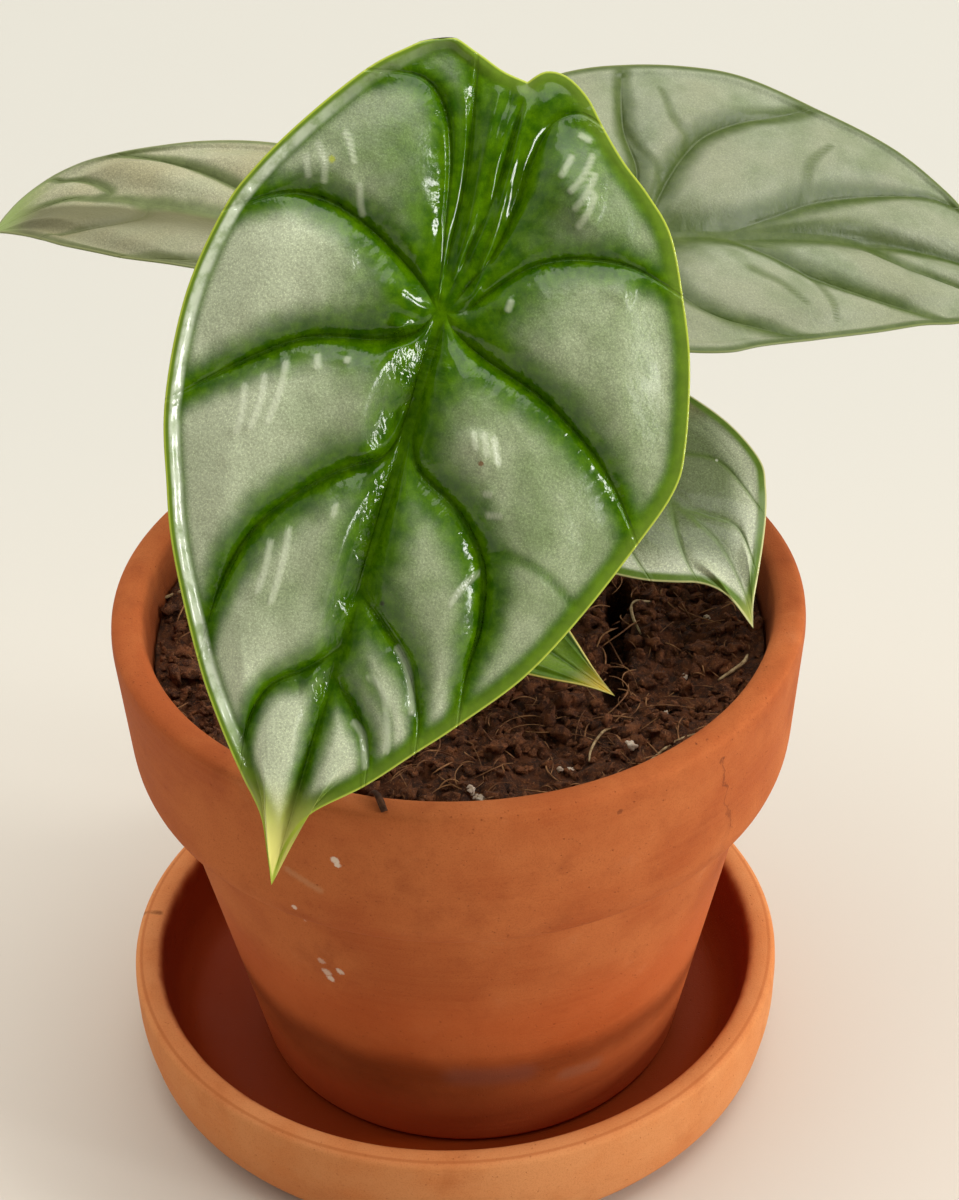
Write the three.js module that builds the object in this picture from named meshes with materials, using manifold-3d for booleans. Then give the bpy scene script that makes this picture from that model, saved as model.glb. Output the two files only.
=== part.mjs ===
// A silver dragon alocasia in a 12 cm terracotta pot that stands in its saucer. Millimetres, +Z up, with
// the origin on the surface under the middle of the saucer; -Y is the front, where the big leaf hangs.
import * as THREE from 'three';
import { mergeVertices } from 'three/addons/utils/BufferGeometryUtils.js';
import Module from 'manifold-3d';

const GAP = 0.3;                       // clearance between pieces that rest on each other

const SAUCER_HEIGHT = 21.5;
const SAUCER_RADIUS = 59.6;            // widest, just under the rim
const SAUCER_FOOT_RADIUS = 51;
const SAUCER_FLOOR = 6;                // thickness of the floor
const SAUCER_MOUTH_RADIUS = 54.5;

const POT_AXIS = [2.6, 0];             // the pot stands a little off the saucer's centre
const POT_FOOT = SAUCER_FLOOR + GAP;
const POT_TOP = 99.5;
const POT_RIM_RADIUS = 60;             // a standard 12 cm pot
const POT_MOUTH_RADIUS = 54.4;
const COLLAR_RADIUS = 57.9;            // collar's lower edge
const COLLAR_BOTTOM = POT_TOP - 27.1;
const CREASE = POT_TOP - 33;           // where the collar meets the body
const BODY_RADIUS = 52.1;              // body at the crease
const FOOT_RADIUS = 38.5;
const POT_WALL = 5.2;
const POT_FLOOR = 6.5;
const POT_CHAMFER = 1.5;               // between the inner wall and the floor
const POT_LEDGE = POT_TOP - 12;        // the inner wall steepens above this height
const POT_SHOULDER = CREASE - 3;       // and flares above this one
const DRAIN_RADIUS = 7;

const SOIL_LEVEL = POT_TOP - 9;
const SOIL_RISE = 1.6;                 // the root ball stands a little proud round the crown
const SOIL_LUMP = 1.3;
const HOLLOW = { from: [28.5, -19], to: [31, 12], width: 3.4, depth: 9 };

const CROWN = { at: [7.8, 4.3], radius: 8.6, bottom: 78, shoulder: 90, top: 95 };
const STEM_FOOT = 89.5;                // stalk bases stand in sockets in the crown

const BLADE = 0.8;                     // blade thickness
const MARGIN = 3;                      // width of the band between marginal vein and edge
const MARGIN_RISE = 0.8;
const MARGIN_SHARE = 0.22;             // the band's most of a narrow blade
const MARGIN_CREST = 0.45;             // where across the band it stands highest
const VALLEY = 5;                      // half width of the sunken strip along the midrib
const PANEL_EDGE = 2.2;                // how square-shouldered a panel is between its veins
const PANEL_END = 0.72;                // where a panel starts to fall towards the marginal vein
const WIDEST_PANEL = 20;               // panels wider than this rise no higher
const RIB = 0.7;                       // half width of the midrib at the junction
const RIB_LENGTH = 90;                 // of the blade that has that rib; others in proportion

const TURNED = 48;                     // facets round pot, saucer and soil
const ROWS_EVERY = 4.2;                // between the rows of points across a panel
const COLUMNS = 9;                     // from the midrib to the edge
const BAND_FROM = (COLUMNS - 2) / COLUMNS;
const STEM_SIDES = 8;
const STEM_STEPS = 12;

const wasm = await Module();
wasm.setup();

// Blade outlines and veins are in the blade's own plane: x across, y from the tip (negative) towards
// the lobes, 0,0 at the junction where the stalk joins. Edges run from the notch to the tip. Each vein
// has the fraction of the midrib that it leaves from, its points, and the edge point that it ends at.
const LEAVES = {
  front: {
    junction: [1.5, -31, 175.4], yaw: -122.9, slope: 54.2, roll: -26.2,
    length: 92.7, fold: 0.1, cup: 0.25, droop: 0.06, back: 0.25, panel: 0.14,
    midrib: [[0, 0], [0.3, -30], [0, -60], [0, -92.7]],
    sinus: [[0.8, 6], [2.6, 17], [3, 27.5]],
    right: {
      edge: [[2.5, 37], [4.7, 39.3], [8, 39.5], [12, 37.3], [15.5, 33.7], [20, 29.5], [25, 25.8], [30, 21],
        [34.5, 12.5], [38.5, 3], [41.5, -9], [41.8, -16], [38.8, -25.5], [33.5, -39], [28, -50],
        [20.5, -60], [15.5, -66], [9.5, -73.5], [3.4, -79.8], [1.4, -84], [0.4, -88.6], [0, -92.7]],
      veins: [
        { from: 0, via: [[2.2, 3], [5, 10], [6.6, 18], [6.8, 26], [8, 32], [11.5, 34.6]], to: 4 },
        { from: 0, via: [[3.3, 0.9], [6.4, 4.9], [11.5, 10.5], [18, 13.5], [26, 14.5]], to: 8 },
        { from: 0, via: [[2.6, -2.2], [8, -4.9], [18, -8.2], [27, -13.3], [33, -18.5]], to: 12 },
        { from: 0.21, via: [[3.5, -24], [10.9, -28.2], [17.1, -35.1], [19.4, -44], [19.4, -52]], to: 15 },
        { from: 0.5, via: [[4.5, -47.8], [10.6, -53.1], [14.2, -60]], to: 16 },
        { from: 0.65, via: [[4.4, -62], [8, -66.5]], to: 17 }],
    },
    left: {
      edge: [[2.5, 37], [-1.5, 37.5], [-6, 39], [-11.5, 40.2], [-16.5, 36.5], [-21.5, 31.5], [-28, 22],
        [-33, 13], [-36, 5], [-37.8, -9], [-36.3, -25], [-32.5, -37], [-28.5, -47], [-20.5, -61.5],
        [-15, -69.5], [-9.5, -76.5], [-4.7, -82.2], [-2, -88], [0, -92.7]],
      veins: [
        { from: 0, via: [[-1.4, 10], [-2, 19], [-3.4, 27]], to: 2 },
        { from: 0, via: [[-3, 12], [-5.4, 22.5], [-8.6, 29.8], [-13.5, 33]], to: 5 },
        { from: 0, via: [[-4, 3], [-8.5, 6], [-14.3, 9], [-21, 11], [-28, 10.2]], to: 8 },
        { from: 0, via: [[-2.6, -4], [-7.6, -6.7], [-17.7, -9.4], [-25.3, -14.7]], to: 10 },
        { from: 0.2, via: [[-2, -23.5], [-8.8, -28.4], [-16.9, -38], [-20, -48]], to: 13 },
        { from: 0.6, via: [[-4, -58], [-9, -62.5], [-10.4, -69]], to: 15 }],
    },
  },
  right: {
    junction: [37, 25, 155.1], yaw: 17, slope: 13, roll: 22,
    length: 78, fold: 0.28, cup: 0.32, droop: 0.1, back: 0.1, panel: 0.1,
    midrib: [[0, 0], [1, -20], [0.6, -42], [-2, -60], [-7, -77]],
    sinus: [[0.3, 9], [0.8, 18]],
    right: {
      edge: [[1, 26], [6, 29.5], [13, 30], [21, 26.5], [27.5, 20], [32, 9], [34.3, -2], [34.6, -14],
        [33, -25], [27.1, -38], [20, -52], [13, -61], [9, -65], [2, -71], [-3, -74.3], [-7, -77]],
      veins: [
        { from: 0, via: [[4, 10], [8, 18], [14, 24]], to: 3 },
        { from: 0, via: [[6, 1.2], [13, 0], [21, 0.7]], to: 6 },
        { from: 0, via: [[6, -2.2], [14, -8], [19.5, -14], [23, -22], [25, -31]], to: 9 },
        { from: 0.2, via: [[4.5, -24.7], [7.5, -33], [10, -46], [11, -57]], to: 12 }],
    },
    left: {
      edge: [[1, 26], [-4, 28.5], [-11, 29.5], [-19, 26], [-25, 17], [-28.5, 6], [-29, -4], [-27.5, -11],
        [-25.8, -21], [-23.5, -34], [-21, -44], [-19.7, -51], [-17, -60], [-13.5, -67.5], [-10, -73],
        [-7, -77]],
      veins: [
        { from: 0, via: [[-3, 9], [-6.5, 17], [-12, 23]], to: 3 },
        { from: 0, via: [[-7, 4.5], [-14.5, 7]], to: 5 },
        { from: 0, via: [[-8, 1.5], [-16, -0.7], [-20.5, -5.5], [-23, -12]], to: 8 },
        { from: 0.19, via: [[-5, -21.6], [-10, -27], [-13.5, -34], [-17, -43]], to: 11 },
        { from: 0.5, via: [[-5, -47], [-9, -56]], to: 13 }],
    },
  },
  left: {
    junction: [-22, 25, 157.2], yaw: 158, slope: -3, roll: -2,
    length: 55, fold: 0.08, cup: 0, droop: 0.15, back: 0.05, twist: 0.2, panel: 0.1,
    midrib: [[0, 0], [-0.6, -18], [-1.6, -36], [-0.6, -47], [5.5, -55.5]],
    sinus: [[0, 6], [0, 12]],
    right: {
      edge: [[0, 18], [4, 20.5], [9.5, 20], [14, 15], [16.5, 6], [16.8, -5], [16.4, -16], [15.8, -26],
        [13.4, -37], [10.4, -44], [8, -50], [5.5, -55.5]],
      veins: [
        { from: 0, via: [[2.5, 7], [6, 14]], to: 2 },
        { from: 0, via: [[5, -0.5], [10.5, -4.5], [14, -12]], to: 7 },
        { from: 0.4, via: [[2, -28], [6, -33]], to: 9 }],
    },
    left: {
      edge: [[0, 18], [-4, 20.8], [-11, 21.5], [-17.5, 17.5], [-22, 9], [-22.8, -4], [-21, -15],
        [-18, -25], [-15, -33], [-12, -41.5], [-9.5, -46.8], [-6, -51.5], [-0.5, -55], [5.5, -55.5]],
      veins: [
        { from: 0, via: [[-2.5, 7], [-6, 14]], to: 2 },
        { from: 0, via: [[-6, 1.5], [-13, 2]], to: 5 },
        { from: 0, via: [[-5, -6], [-8.8, -15.7], [-11, -24], [-12.2, -34]], to: 9 },
        { from: 0.55, via: [[-3.5, -37], [-6, -43]], to: 11 }],
    },
  },
  lower: {
    junction: [27.9, 14, 119.4], yaw: -45, slope: 20, roll: 20,
    length: 41, fold: 0.03, cup: 0.3, droop: 0.1, back: 0.1, panel: 0.11,
    midrib: [[0, 0], [1.2, -9], [2.2, -18], [2.2, -27], [-0.8, -36], [-3.8, -41]],
    sinus: [[0, 4.5], [0, 9]],
    right: {
      edge: [[0, 13.5], [3.5, 15.5], [9, 15], [14.5, 11], [18, 4], [19.9, -4], [20.6, -12], [19.3, -20],
        [16.2, -24.3], [12, -28.4], [7.5, -32], [3, -35.3], [-1, -38.2], [-3.8, -41]],
      veins: [
        { from: 0, via: [[2, 5], [5, 10.5]], to: 2 },
        { from: 0, via: [[6, 1.5], [12, 3]], to: 4 },
        { from: 0, via: [[5, -4.5], [10.4, -10.6], [13.8, -16.5]], to: 9 },
        { from: 0.4, via: [[4.5, -21.5], [6.8, -27]], to: 11 }],
    },
    left: {
      edge: [[0, 13.5], [-3.5, 15.3], [-9, 14.6], [-14, 10.5], [-17, 3], [-17.7, -6], [-16.5, -14],
        [-14, -19.2], [-11, -23.5], [-8, -26.8], [-5.3, -29.5], [-3.6, -32.8], [-3.2, -36.5], [-3.8, -41]],
      veins: [
        { from: 0, via: [[-2, 5], [-5, 10]], to: 2 },
        { from: 0, via: [[-5, 0.5], [-11, -1.5]], to: 5 },
        { from: 0, via: [[-3.5, -5], [-8, -12]], to: 8 },
        { from: 0.35, via: [[-1.4, -20], [-4, -25]], to: 10 }],
    },
  },
  small: {
    junction: [7.8, -13, 105.9], yaw: -40, slope: 13, roll: 18,
    length: 27, fold: 0.12, cup: 0.1, droop: 0, back: 0, panel: 0.05,
    midrib: [[0, 0], [0, -14], [0, -27]],
    sinus: [[0, 1.5], [0, 3.2]],
    right: {
      edge: [[0, 5], [2.5, 6.5], [5.5, 5.5], [7.5, 1.5], [7.5, -4], [6.2, -10], [4.3, -15], [1.5, -22],
        [0, -27]],
      veins: [{ from: 0, via: [[2, -1], [5, -4]], to: 5 }],
    },
    left: {
      edge: [[0, 5], [-2.5, 6.5], [-5.5, 5.8], [-7.8, 2], [-8.3, -4], [-7.5, -10], [-5.2, -15.5],
        [-1.6, -22.5], [0, -27]],
      veins: [{ from: 0, via: [[-2, -1], [-5.5, -4]], to: 5 }],
    },
  },
};

// Each stalk: its foot in the crown, the points that it passes, and its radius at foot and top.
const STEMS = {
  front: {
    foot: [10.6, 2.2], radii: [2.3, 1.7],
    via: [[11, 1.5, 108], [9.8, -4, 128], [7, -12, 147], [4, -21, 163]],
  },
  right: {
    foot: [6.4, 9.2], radii: [2.2, 1.6],
    via: [[4.2, 16, 113], [7.6, 21.5, 131], [16, 25, 143.5], [27, 26.2, 149.6]],
  },
  left: {
    foot: [3, 4.8], radii: [2, 1.5],
    via: [[-0.5, 8, 113], [-5.4, 14.5, 134], [-12.6, 20.8, 147.5]],
  },
  lower: {
    foot: [12.8, 7.2], radii: [1.8, 1.3],
    via: [[15, 8.6, 102], [20, 12, 109.5]],
  },
  small: {
    foot: [6.4, -1], radii: [1.3, 0.9],
    via: [[6.2, -4.5, 97.5], [7, -9, 100]],
  },
};

const COLOURS = {
  terracotta: { color: 0xb96a43, roughness: 0.85 },
  saucerClay: { color: 0xc0703f, roughness: 0.85 },
  soil: { color: 0x3b241a, roughness: 1 },
  crown: { color: 0x8a7a4a, roughness: 0.8 },
  stem: { color: 0x86a052, roughness: 0.5 },
  glossy: { color: 0x6f8f68, roughness: 0.3 },
  silver: { color: 0x7f8f80, roughness: 0.55 },
  young: { color: 0x6f9a2c, roughness: 0.4 },
};

const root = new THREE.Group();

function add(name, geometry, look, position = [0, 0, 0]) {
  const mesh = new THREE.Mesh(geometry, new THREE.MeshStandardMaterial({ metalness: 0, ...COLOURS[look] }));
  mesh.name = name;
  mesh.position.set(...position);
  root.add(mesh);
  return mesh;
}

function closedGeometry(points, faces) {
  const geometry = new THREE.BufferGeometry();
  geometry.setAttribute('position', new THREE.Float32BufferAttribute(points.flat(), 3));
  geometry.setIndex(faces.flat());
  return geometry;
}

function solid(geometry) {
  const bare = geometry.clone();
  bare.deleteAttribute('normal');
  bare.deleteAttribute('uv');
  const merged = mergeVertices(bare, 1e-4);
  return new wasm.Manifold(new wasm.Mesh({
    numProp: 3,
    vertProperties: new Float32Array(merged.attributes.position.array),
    triVerts: new Uint32Array(merged.index.array),
  }));
}

function fromSolid(body) {
  const mesh = body.getMesh();
  const geometry = new THREE.BufferGeometry();
  geometry.setAttribute('position', new THREE.Float32BufferAttribute(Array.from(mesh.vertProperties), 3));
  geometry.setIndex(Array.from(mesh.triVerts));
  return geometry;
}

// Turned shapes: a profile of [radius, height] pairs, revolved about +Z.
function turned(profile, facets = TURNED) {
  const geometry = new THREE.LatheGeometry(profile.map(([r, z]) => new THREE.Vector2(r, z)), facets);
  return geometry.rotateX(Math.PI / 2);
}

// An arc of a section's profile, from one angle to another in degrees.
function arc([r, z], radius, from, to, steps) {
  return Array.from({ length: steps + 1 }, (_, i) => {
    const a = THREE.MathUtils.degToRad(from + ((to - from) * i) / steps);
    return [r + radius * Math.cos(a), z + radius * Math.sin(a)];
  });
}

function saucer() {
  const lip = (SAUCER_RADIUS - SAUCER_MOUTH_RADIUS) / 2;
  const wellFoot = SAUCER_MOUTH_RADIUS - 8;
  const profile = [
    [0, 0], [SAUCER_FOOT_RADIUS, 0], [SAUCER_FOOT_RADIUS + 4, 1.6], [SAUCER_FOOT_RADIUS + 6.8, 5.4],
    [SAUCER_RADIUS - 0.3, 11.8], [SAUCER_RADIUS, SAUCER_HEIGHT - lip],
    ...arc([SAUCER_RADIUS - lip, SAUCER_HEIGHT - lip], lip, 35, 180, 5),
    [SAUCER_MOUTH_RADIUS - 2.2, SAUCER_FLOOR + 5], [wellFoot + 3, SAUCER_FLOOR + 1.2],
    [wellFoot, SAUCER_FLOOR], [0, SAUCER_FLOOR],
  ];
  add('saucer', turned(profile), 'saucerClay');
}

// The pot's inner wall: its radius at a height above the surface.
function mouthRadius(z) {
  const wall = [
    [POT_FOOT + POT_FLOOR, FOOT_RADIUS - POT_WALL + 1],
    [POT_SHOULDER, BODY_RADIUS - POT_WALL],
    [POT_LEDGE, POT_MOUTH_RADIUS - 1.4],
    [POT_TOP, POT_MOUTH_RADIUS],
  ];
  const above = Math.max(1, wall.findIndex(([height]) => z <= height));
  const [low, high] = [wall[above - 1], wall[above]];
  return THREE.MathUtils.mapLinear(z, low[0], high[0], low[1], high[1]);
}

function pot() {
  const floorTop = POT_FOOT + POT_FLOOR;
  const lip = (POT_RIM_RADIUS - POT_MOUTH_RADIUS) / 2;
  const profile = [
    [DRAIN_RADIUS, POT_FOOT], [FOOT_RADIUS - 1.2, POT_FOOT], [FOOT_RADIUS, POT_FOOT + 1.2],
    [BODY_RADIUS, CREASE], [BODY_RADIUS + 1, CREASE + 1.2], [COLLAR_RADIUS - 1.6, COLLAR_BOTTOM - 1.8],
    [COLLAR_RADIUS - 0.3, COLLAR_BOTTOM], [COLLAR_RADIUS + 0.3, COLLAR_BOTTOM + 3],
    [POT_RIM_RADIUS, POT_TOP - lip],
    ...arc([POT_RIM_RADIUS - lip, POT_TOP - lip], lip, 30, 180, 5),
    [mouthRadius(POT_LEDGE), POT_LEDGE], [mouthRadius(POT_SHOULDER), POT_SHOULDER],
    [mouthRadius(floorTop + POT_CHAMFER), floorTop + POT_CHAMFER],
    [mouthRadius(floorTop) - POT_CHAMFER, floorTop], [DRAIN_RADIUS, floorTop], [DRAIN_RADIUS, POT_FOOT],
  ];
  add('pot', turned(profile), 'terracotta', [...POT_AXIS, 0]);
}

// Smooth repeatable noise over the soil's plan, between -1 and 1.
function hash(i, j) {
  const v = Math.sin(i * 127.1 + j * 311.7) * 43758.5453;
  return 2 * (v - Math.floor(v)) - 1;
}

function noise(x, y) {
  const i = Math.floor(x);
  const j = Math.floor(y);
  const u = THREE.MathUtils.smoothstep(x - i, 0, 1);
  const v = THREE.MathUtils.smoothstep(y - j, 0, 1);
  const near = THREE.MathUtils.lerp(hash(i, j), hash(i + 1, j), u);
  const far = THREE.MathUtils.lerp(hash(i, j + 1), hash(i + 1, j + 1), u);
  return THREE.MathUtils.lerp(near, far, v);
}

// Soil height at a place: lumps, and the raised root ball round the crown.
function soilHeight(x, y) {
  const fromCrown = Math.hypot(x - CROWN.at[0], y - CROWN.at[1]);
  const ball = SOIL_RISE * Math.exp(-((fromCrown / 22) ** 2));
  const lumps = SOIL_LUMP * (0.6 * noise(x / 9, y / 9) + 0.4 * noise(x / 4.5 + 7, y / 4.5));
  return SOIL_LEVEL + ball + lumps;
}

// Soil fills the pot up to its level. Its rings share the pot's facets, so one gap holds all round.
function soilBody() {
  const rings = 12;
  const floor = POT_FOOT + POT_FLOOR + GAP;
  const points = [[...POT_AXIS, soilHeight(...POT_AXIS)]];
  const faces = [];
  const ring = (radius, z) => {
    for (let j = 0; j < TURNED; j += 1) {
      const a = (2 * Math.PI * j) / TURNED;
      const x = POT_AXIS[0] + radius * Math.cos(a);
      const y = POT_AXIS[1] + radius * Math.sin(a);
      points.push([x, y, z ?? soilHeight(x, y)]);
    }
  };
  const brim = mouthRadius(SOIL_LEVEL - SOIL_LUMP) - GAP;
  const foot = floor + POT_CHAMFER;
  for (let i = 1; i <= rings; i += 1) ring((brim * i) / rings);
  ring(mouthRadius(POT_SHOULDER) - GAP, POT_SHOULDER);
  ring(mouthRadius(foot) - GAP, foot);
  ring(mouthRadius(floor) - POT_CHAMFER - GAP, floor);
  const total = rings + 3;
  const at = (i, j) => 1 + (i - 1) * TURNED + (j % TURNED);
  for (let j = 0; j < TURNED; j += 1) {
    faces.push([0, at(1, j), at(1, j + 1)]);
    for (let i = 1; i < total; i += 1) {
      faces.push([at(i, j), at(i + 1, j), at(i + 1, j + 1)], [at(i, j), at(i + 1, j + 1), at(i, j + 1)]);
    }
    faces.push([points.length, at(total, j + 1), at(total, j)]);
  }
  points.push([...POT_AXIS, floor]);
  return closedGeometry(points, faces);
}

// The dark crack beside the crown: a slot with pointed ends, sunk into the soil from above.
function hollowBody() {
  const [from, to] = [HOLLOW.from, HOLLOW.to].map((p) => new THREE.Vector2(...p));
  const along = to.clone().sub(from);
  const across = new THREE.Vector2(-along.y, along.x).setLength(HOLLOW.width / 2);
  const beside = (t, side) => from.clone().lerp(to, t).addScaledVector(across, side);
  const outline = new THREE.Shape([
    from, beside(0.25, -0.9), beside(0.6, -1), to, beside(0.7, 1), beside(0.3, 0.8),
  ]);
  const slot = new THREE.ExtrudeGeometry(outline, { depth: 2 * HOLLOW.depth, bevelEnabled: false });
  return slot.translate(0, 0, SOIL_LEVEL - HOLLOW.depth);
}

// The crown is a stout stub with ridges, the old sheath scales; the same shape a gap larger is its hole.
function crownBody(grow = 0) {
  const r = CROWN.radius + grow;
  const profile = [
    [0, CROWN.bottom - grow], [r * 0.7, CROWN.bottom - grow + 1], [r * 0.95, CROWN.bottom + 5],
    [r, CROWN.shoulder], [r * 0.86, CROWN.top - 2], [r * 0.6, CROWN.top - 0.4 + grow], [0, CROWN.top + grow],
  ];
  const body = turned(profile, 24);
  const place = body.attributes.position;
  for (let i = 0; i < place.count; i += 1) {
    const a = Math.atan2(place.getY(i), place.getX(i));
    const ridge = grow > 0 ? 1 : 1 - 0.05 * (1 + Math.cos(5 * a + 0.6));
    place.setXY(i, place.getX(i) * ridge + CROWN.at[0], place.getY(i) * ridge + CROWN.at[1]);
  }
  return body;
}

// The blade's own axes in the part's frame: x across, y away from the tip, z out of the upper face.
function bladeAxes(leaf) {
  const [yaw, slope, roll] = [leaf.yaw, leaf.slope, leaf.roll].map(THREE.MathUtils.degToRad);
  const y = new THREE.Vector3(
    -Math.cos(yaw) * Math.cos(slope), -Math.sin(yaw) * Math.cos(slope), Math.sin(slope));
  const z = new THREE.Vector3(0, 0, 1).addScaledVector(y, -y.z).normalize();
  const x = new THREE.Vector3().crossVectors(y, z);
  x.applyAxisAngle(y, -roll);
  z.applyAxisAngle(y, -roll);
  return { x, y, z };
}

// The blade's sweep without its quilting: folded along the midrib, cupped across, tip and lobes bent.
function bladeForm(leaf, x, y) {
  const tipward = Math.max(0, -y / leaf.length);
  const lobeward = Math.max(0, y / leaf.length);
  return leaf.fold * Math.abs(x) - (leaf.cup * x * x) / leaf.length
    - leaf.droop * leaf.length * tipward ** 3 - leaf.back * leaf.length * lobeward ** 2
    - (leaf.twist ?? 0) * x * tipward;
}

function place(leaf, axes, x, y, z) {
  return new THREE.Vector3(...leaf.junction)
    .addScaledVector(axes.x, x).addScaledVector(axes.y, y).addScaledVector(axes.z, z).toArray();
}

const curve = (points) => new THREE.SplineCurve(points.map(([x, y]) => new THREE.Vector2(x, y)));

// One half of a blade: its rows run out along the veins, from the midrib or junction to the edge.
function bladeHalf(leaf, side) {
  const half = leaf[side];
  const sign = side === 'right' ? 1 : -1;
  const midrib = curve(leaf.midrib);
  const edge = curve(half.edge);
  const last = half.edge.length - 1;
  const rib = (RIB * leaf.length) / RIB_LENGTH;
  const origin = (m) => midrib.getPoint(m).add(new THREE.Vector2(sign * rib * (1 - m), 0));
  const ribs = [
    { start: new THREE.Vector2(0, rib), via: leaf.sinus, to: 0 },
    ...half.veins.map((vein) => ({ ...vein, start: origin(vein.from) })),
    { from: 1, start: origin(1), via: [], to: last },
  ].map((vein) => ({
    ...vein,
    line: curve([vein.start.toArray(), ...vein.via, half.edge[vein.to]]),
  }));
  const along = (rib, t) => (rib.from === 1 ? midrib.getPoint(1) : rib.line.getPointAt(t));

  return {
    ribs,
    sectors: ribs.length - 1,
    point(sector, f, u) {
      const [a, b] = [ribs[sector], ribs[sector + 1]];
      const start = sector === 0
        ? a.start.clone().lerp(b.start, f)
        : origin(THREE.MathUtils.lerp(a.from, b.from, f));
      const end = edge.getPoint(THREE.MathUtils.lerp(a.to, b.to, f) / last);
      const reach = Math.max(start.distanceTo(end), 1e-6);
      const band = 1 - Math.min(MARGIN, MARGIN_SHARE * reach) / reach;
      const t = u <= BAND_FROM
        ? (u / BAND_FROM) * band
        : THREE.MathUtils.mapLinear(u, BAND_FROM, 1, band, 1);
      const [pa, pb] = [along(a, t), along(b, t)];
      const p = pa.clone().lerp(pb, f);
      p.addScaledVector(start.clone().sub(along(a, 0).lerp(along(b, 0), f)), (1 - t) ** 2);
      p.addScaledVector(end.clone().sub(along(a, 1).lerp(along(b, 1), f)), t ** 2);
      return [p.x, p.y, quilting(f, t, band, reach, pa.distanceTo(pb), leaf.panel)];
    },
  };
}

// How far a panel stands up between its two veins (f from 0 to 1), at a share t of the way out to the
// edge; past the marginal vein it is the thin raised band along the rim.
function quilting(f, t, band, reach, width, rise) {
  const { smoothstep } = THREE.MathUtils;
  const crest = THREE.MathUtils.lerp(band, 1, MARGIN_CREST);
  const bulge = 1 - Math.abs(2 * f - 1) ** PANEL_EDGE;
  const fromRib = 1 - Math.exp(-(((t * reach) / VALLEY) ** 2));
  const toBand = 1 - 0.9 * smoothstep(t / band, PANEL_END, 1);
  const rim = MARGIN_RISE * smoothstep(t, band, crest) * (1 - 0.5 * smoothstep(t, crest, 1));
  return rise * Math.min(width, WIDEST_PANEL) * bulge * fromRib * toBand
    + rim * Math.min(1, (reach * MARGIN_SHARE) / MARGIN);
}


// Both faces share one layout, so the lower face is the upper one moved down by the blade's thickness.
function blade(leaf) {
  const axes = bladeAxes(leaf);
  const upper = [];
  const known = new Map();
  const vertex = ([x, y, rise]) => {
    const key = `${x.toFixed(2)},${y.toFixed(2)}`;
    if (!known.has(key)) {
      known.set(key, upper.length);
      upper.push([x, y, bladeForm(leaf, x, y) + rise]);
    }
    return known.get(key);
  };
  const sheet = [];
  const rim = { right: [], left: [] };
  const inner = { right: [], left: [] };
  ['right', 'left'].forEach((side) => {
    const half = bladeHalf(leaf, side);
    const rows = [];
    for (let k = 0; k < half.sectors; k += 1) {
      const [near, far] = [half.ribs[k], half.ribs[k + 1]].map(({ to }) => leaf[side].edge[to]);
      const widest = Math.hypot(far[0] - near[0], far[1] - near[1]);
      const count = THREE.MathUtils.clamp(Math.round(widest / ROWS_EVERY), 2, 6);
      for (let j = 0; j < count; j += 1) rows.push([k, j / count]);
    }
    rows.push([half.sectors - 1, 1]);
    const grid = rows.map(([k, f]) => (
      Array.from({ length: COLUMNS + 1 }, (_, c) => vertex(half.point(k, f, c / COLUMNS)))));
    for (let i = 0; i + 1 < grid.length; i += 1) {
      for (let c = 0; c < COLUMNS; c += 1) {
        const [a, b, d, e] = [grid[i][c], grid[i][c + 1], grid[i + 1][c + 1], grid[i + 1][c]];
        sheet.push(...(side === 'right' ? [[a, d, b], [a, e, d]] : [[a, b, d], [a, d, e]]));
      }
    }
    rim[side] = grid.map((points) => points[COLUMNS]);
    inner[side] = [grid[0][1], ...grid.map((points) => points[0])]
      .filter((v, i, all) => i === 0 || v !== all[i - 1]);
  });

  // The strip between the halves is zipped shut down the midrib, always stepping the side that lags.
  let [r, l] = [0, 0];
  const height = (side, i) => upper[inner[side][i]][1];
  while (r + 1 < inner.right.length || l + 1 < inner.left.length) {
    const stepRight = l + 1 >= inner.left.length
      || (r + 1 < inner.right.length && height('right', r + 1) >= height('left', l + 1));
    const next = stepRight ? inner.right[r + 1] : inner.left[l + 1];
    sheet.push([inner.right[r], inner.left[l], next]);
    if (stepRight) r += 1;
    else l += 1;
  }

  const faces = sheet.filter(([a, b, c]) => a !== b && b !== c && a !== c);
  const under = upper.length;
  const lower = faces.map(([a, b, c]) => [a + under, c + under, b + under]);
  const loop = [...rim.right, ...rim.left.slice(1, -1).reverse()].filter((v, i, all) => v !== all[i - 1]);
  const wall = loop.flatMap((a, i) => {
    const b = loop[(i + 1) % loop.length];
    return [[a, b, b + under], [a, b + under, a + under]];
  });
  const points = [0, -BLADE].flatMap((drop) => (
    upper.map(([x, y, z]) => place(leaf, axes, x, y, z + drop))));
  return closedGeometry(points, [...faces, ...lower, ...wall]);
}

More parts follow.
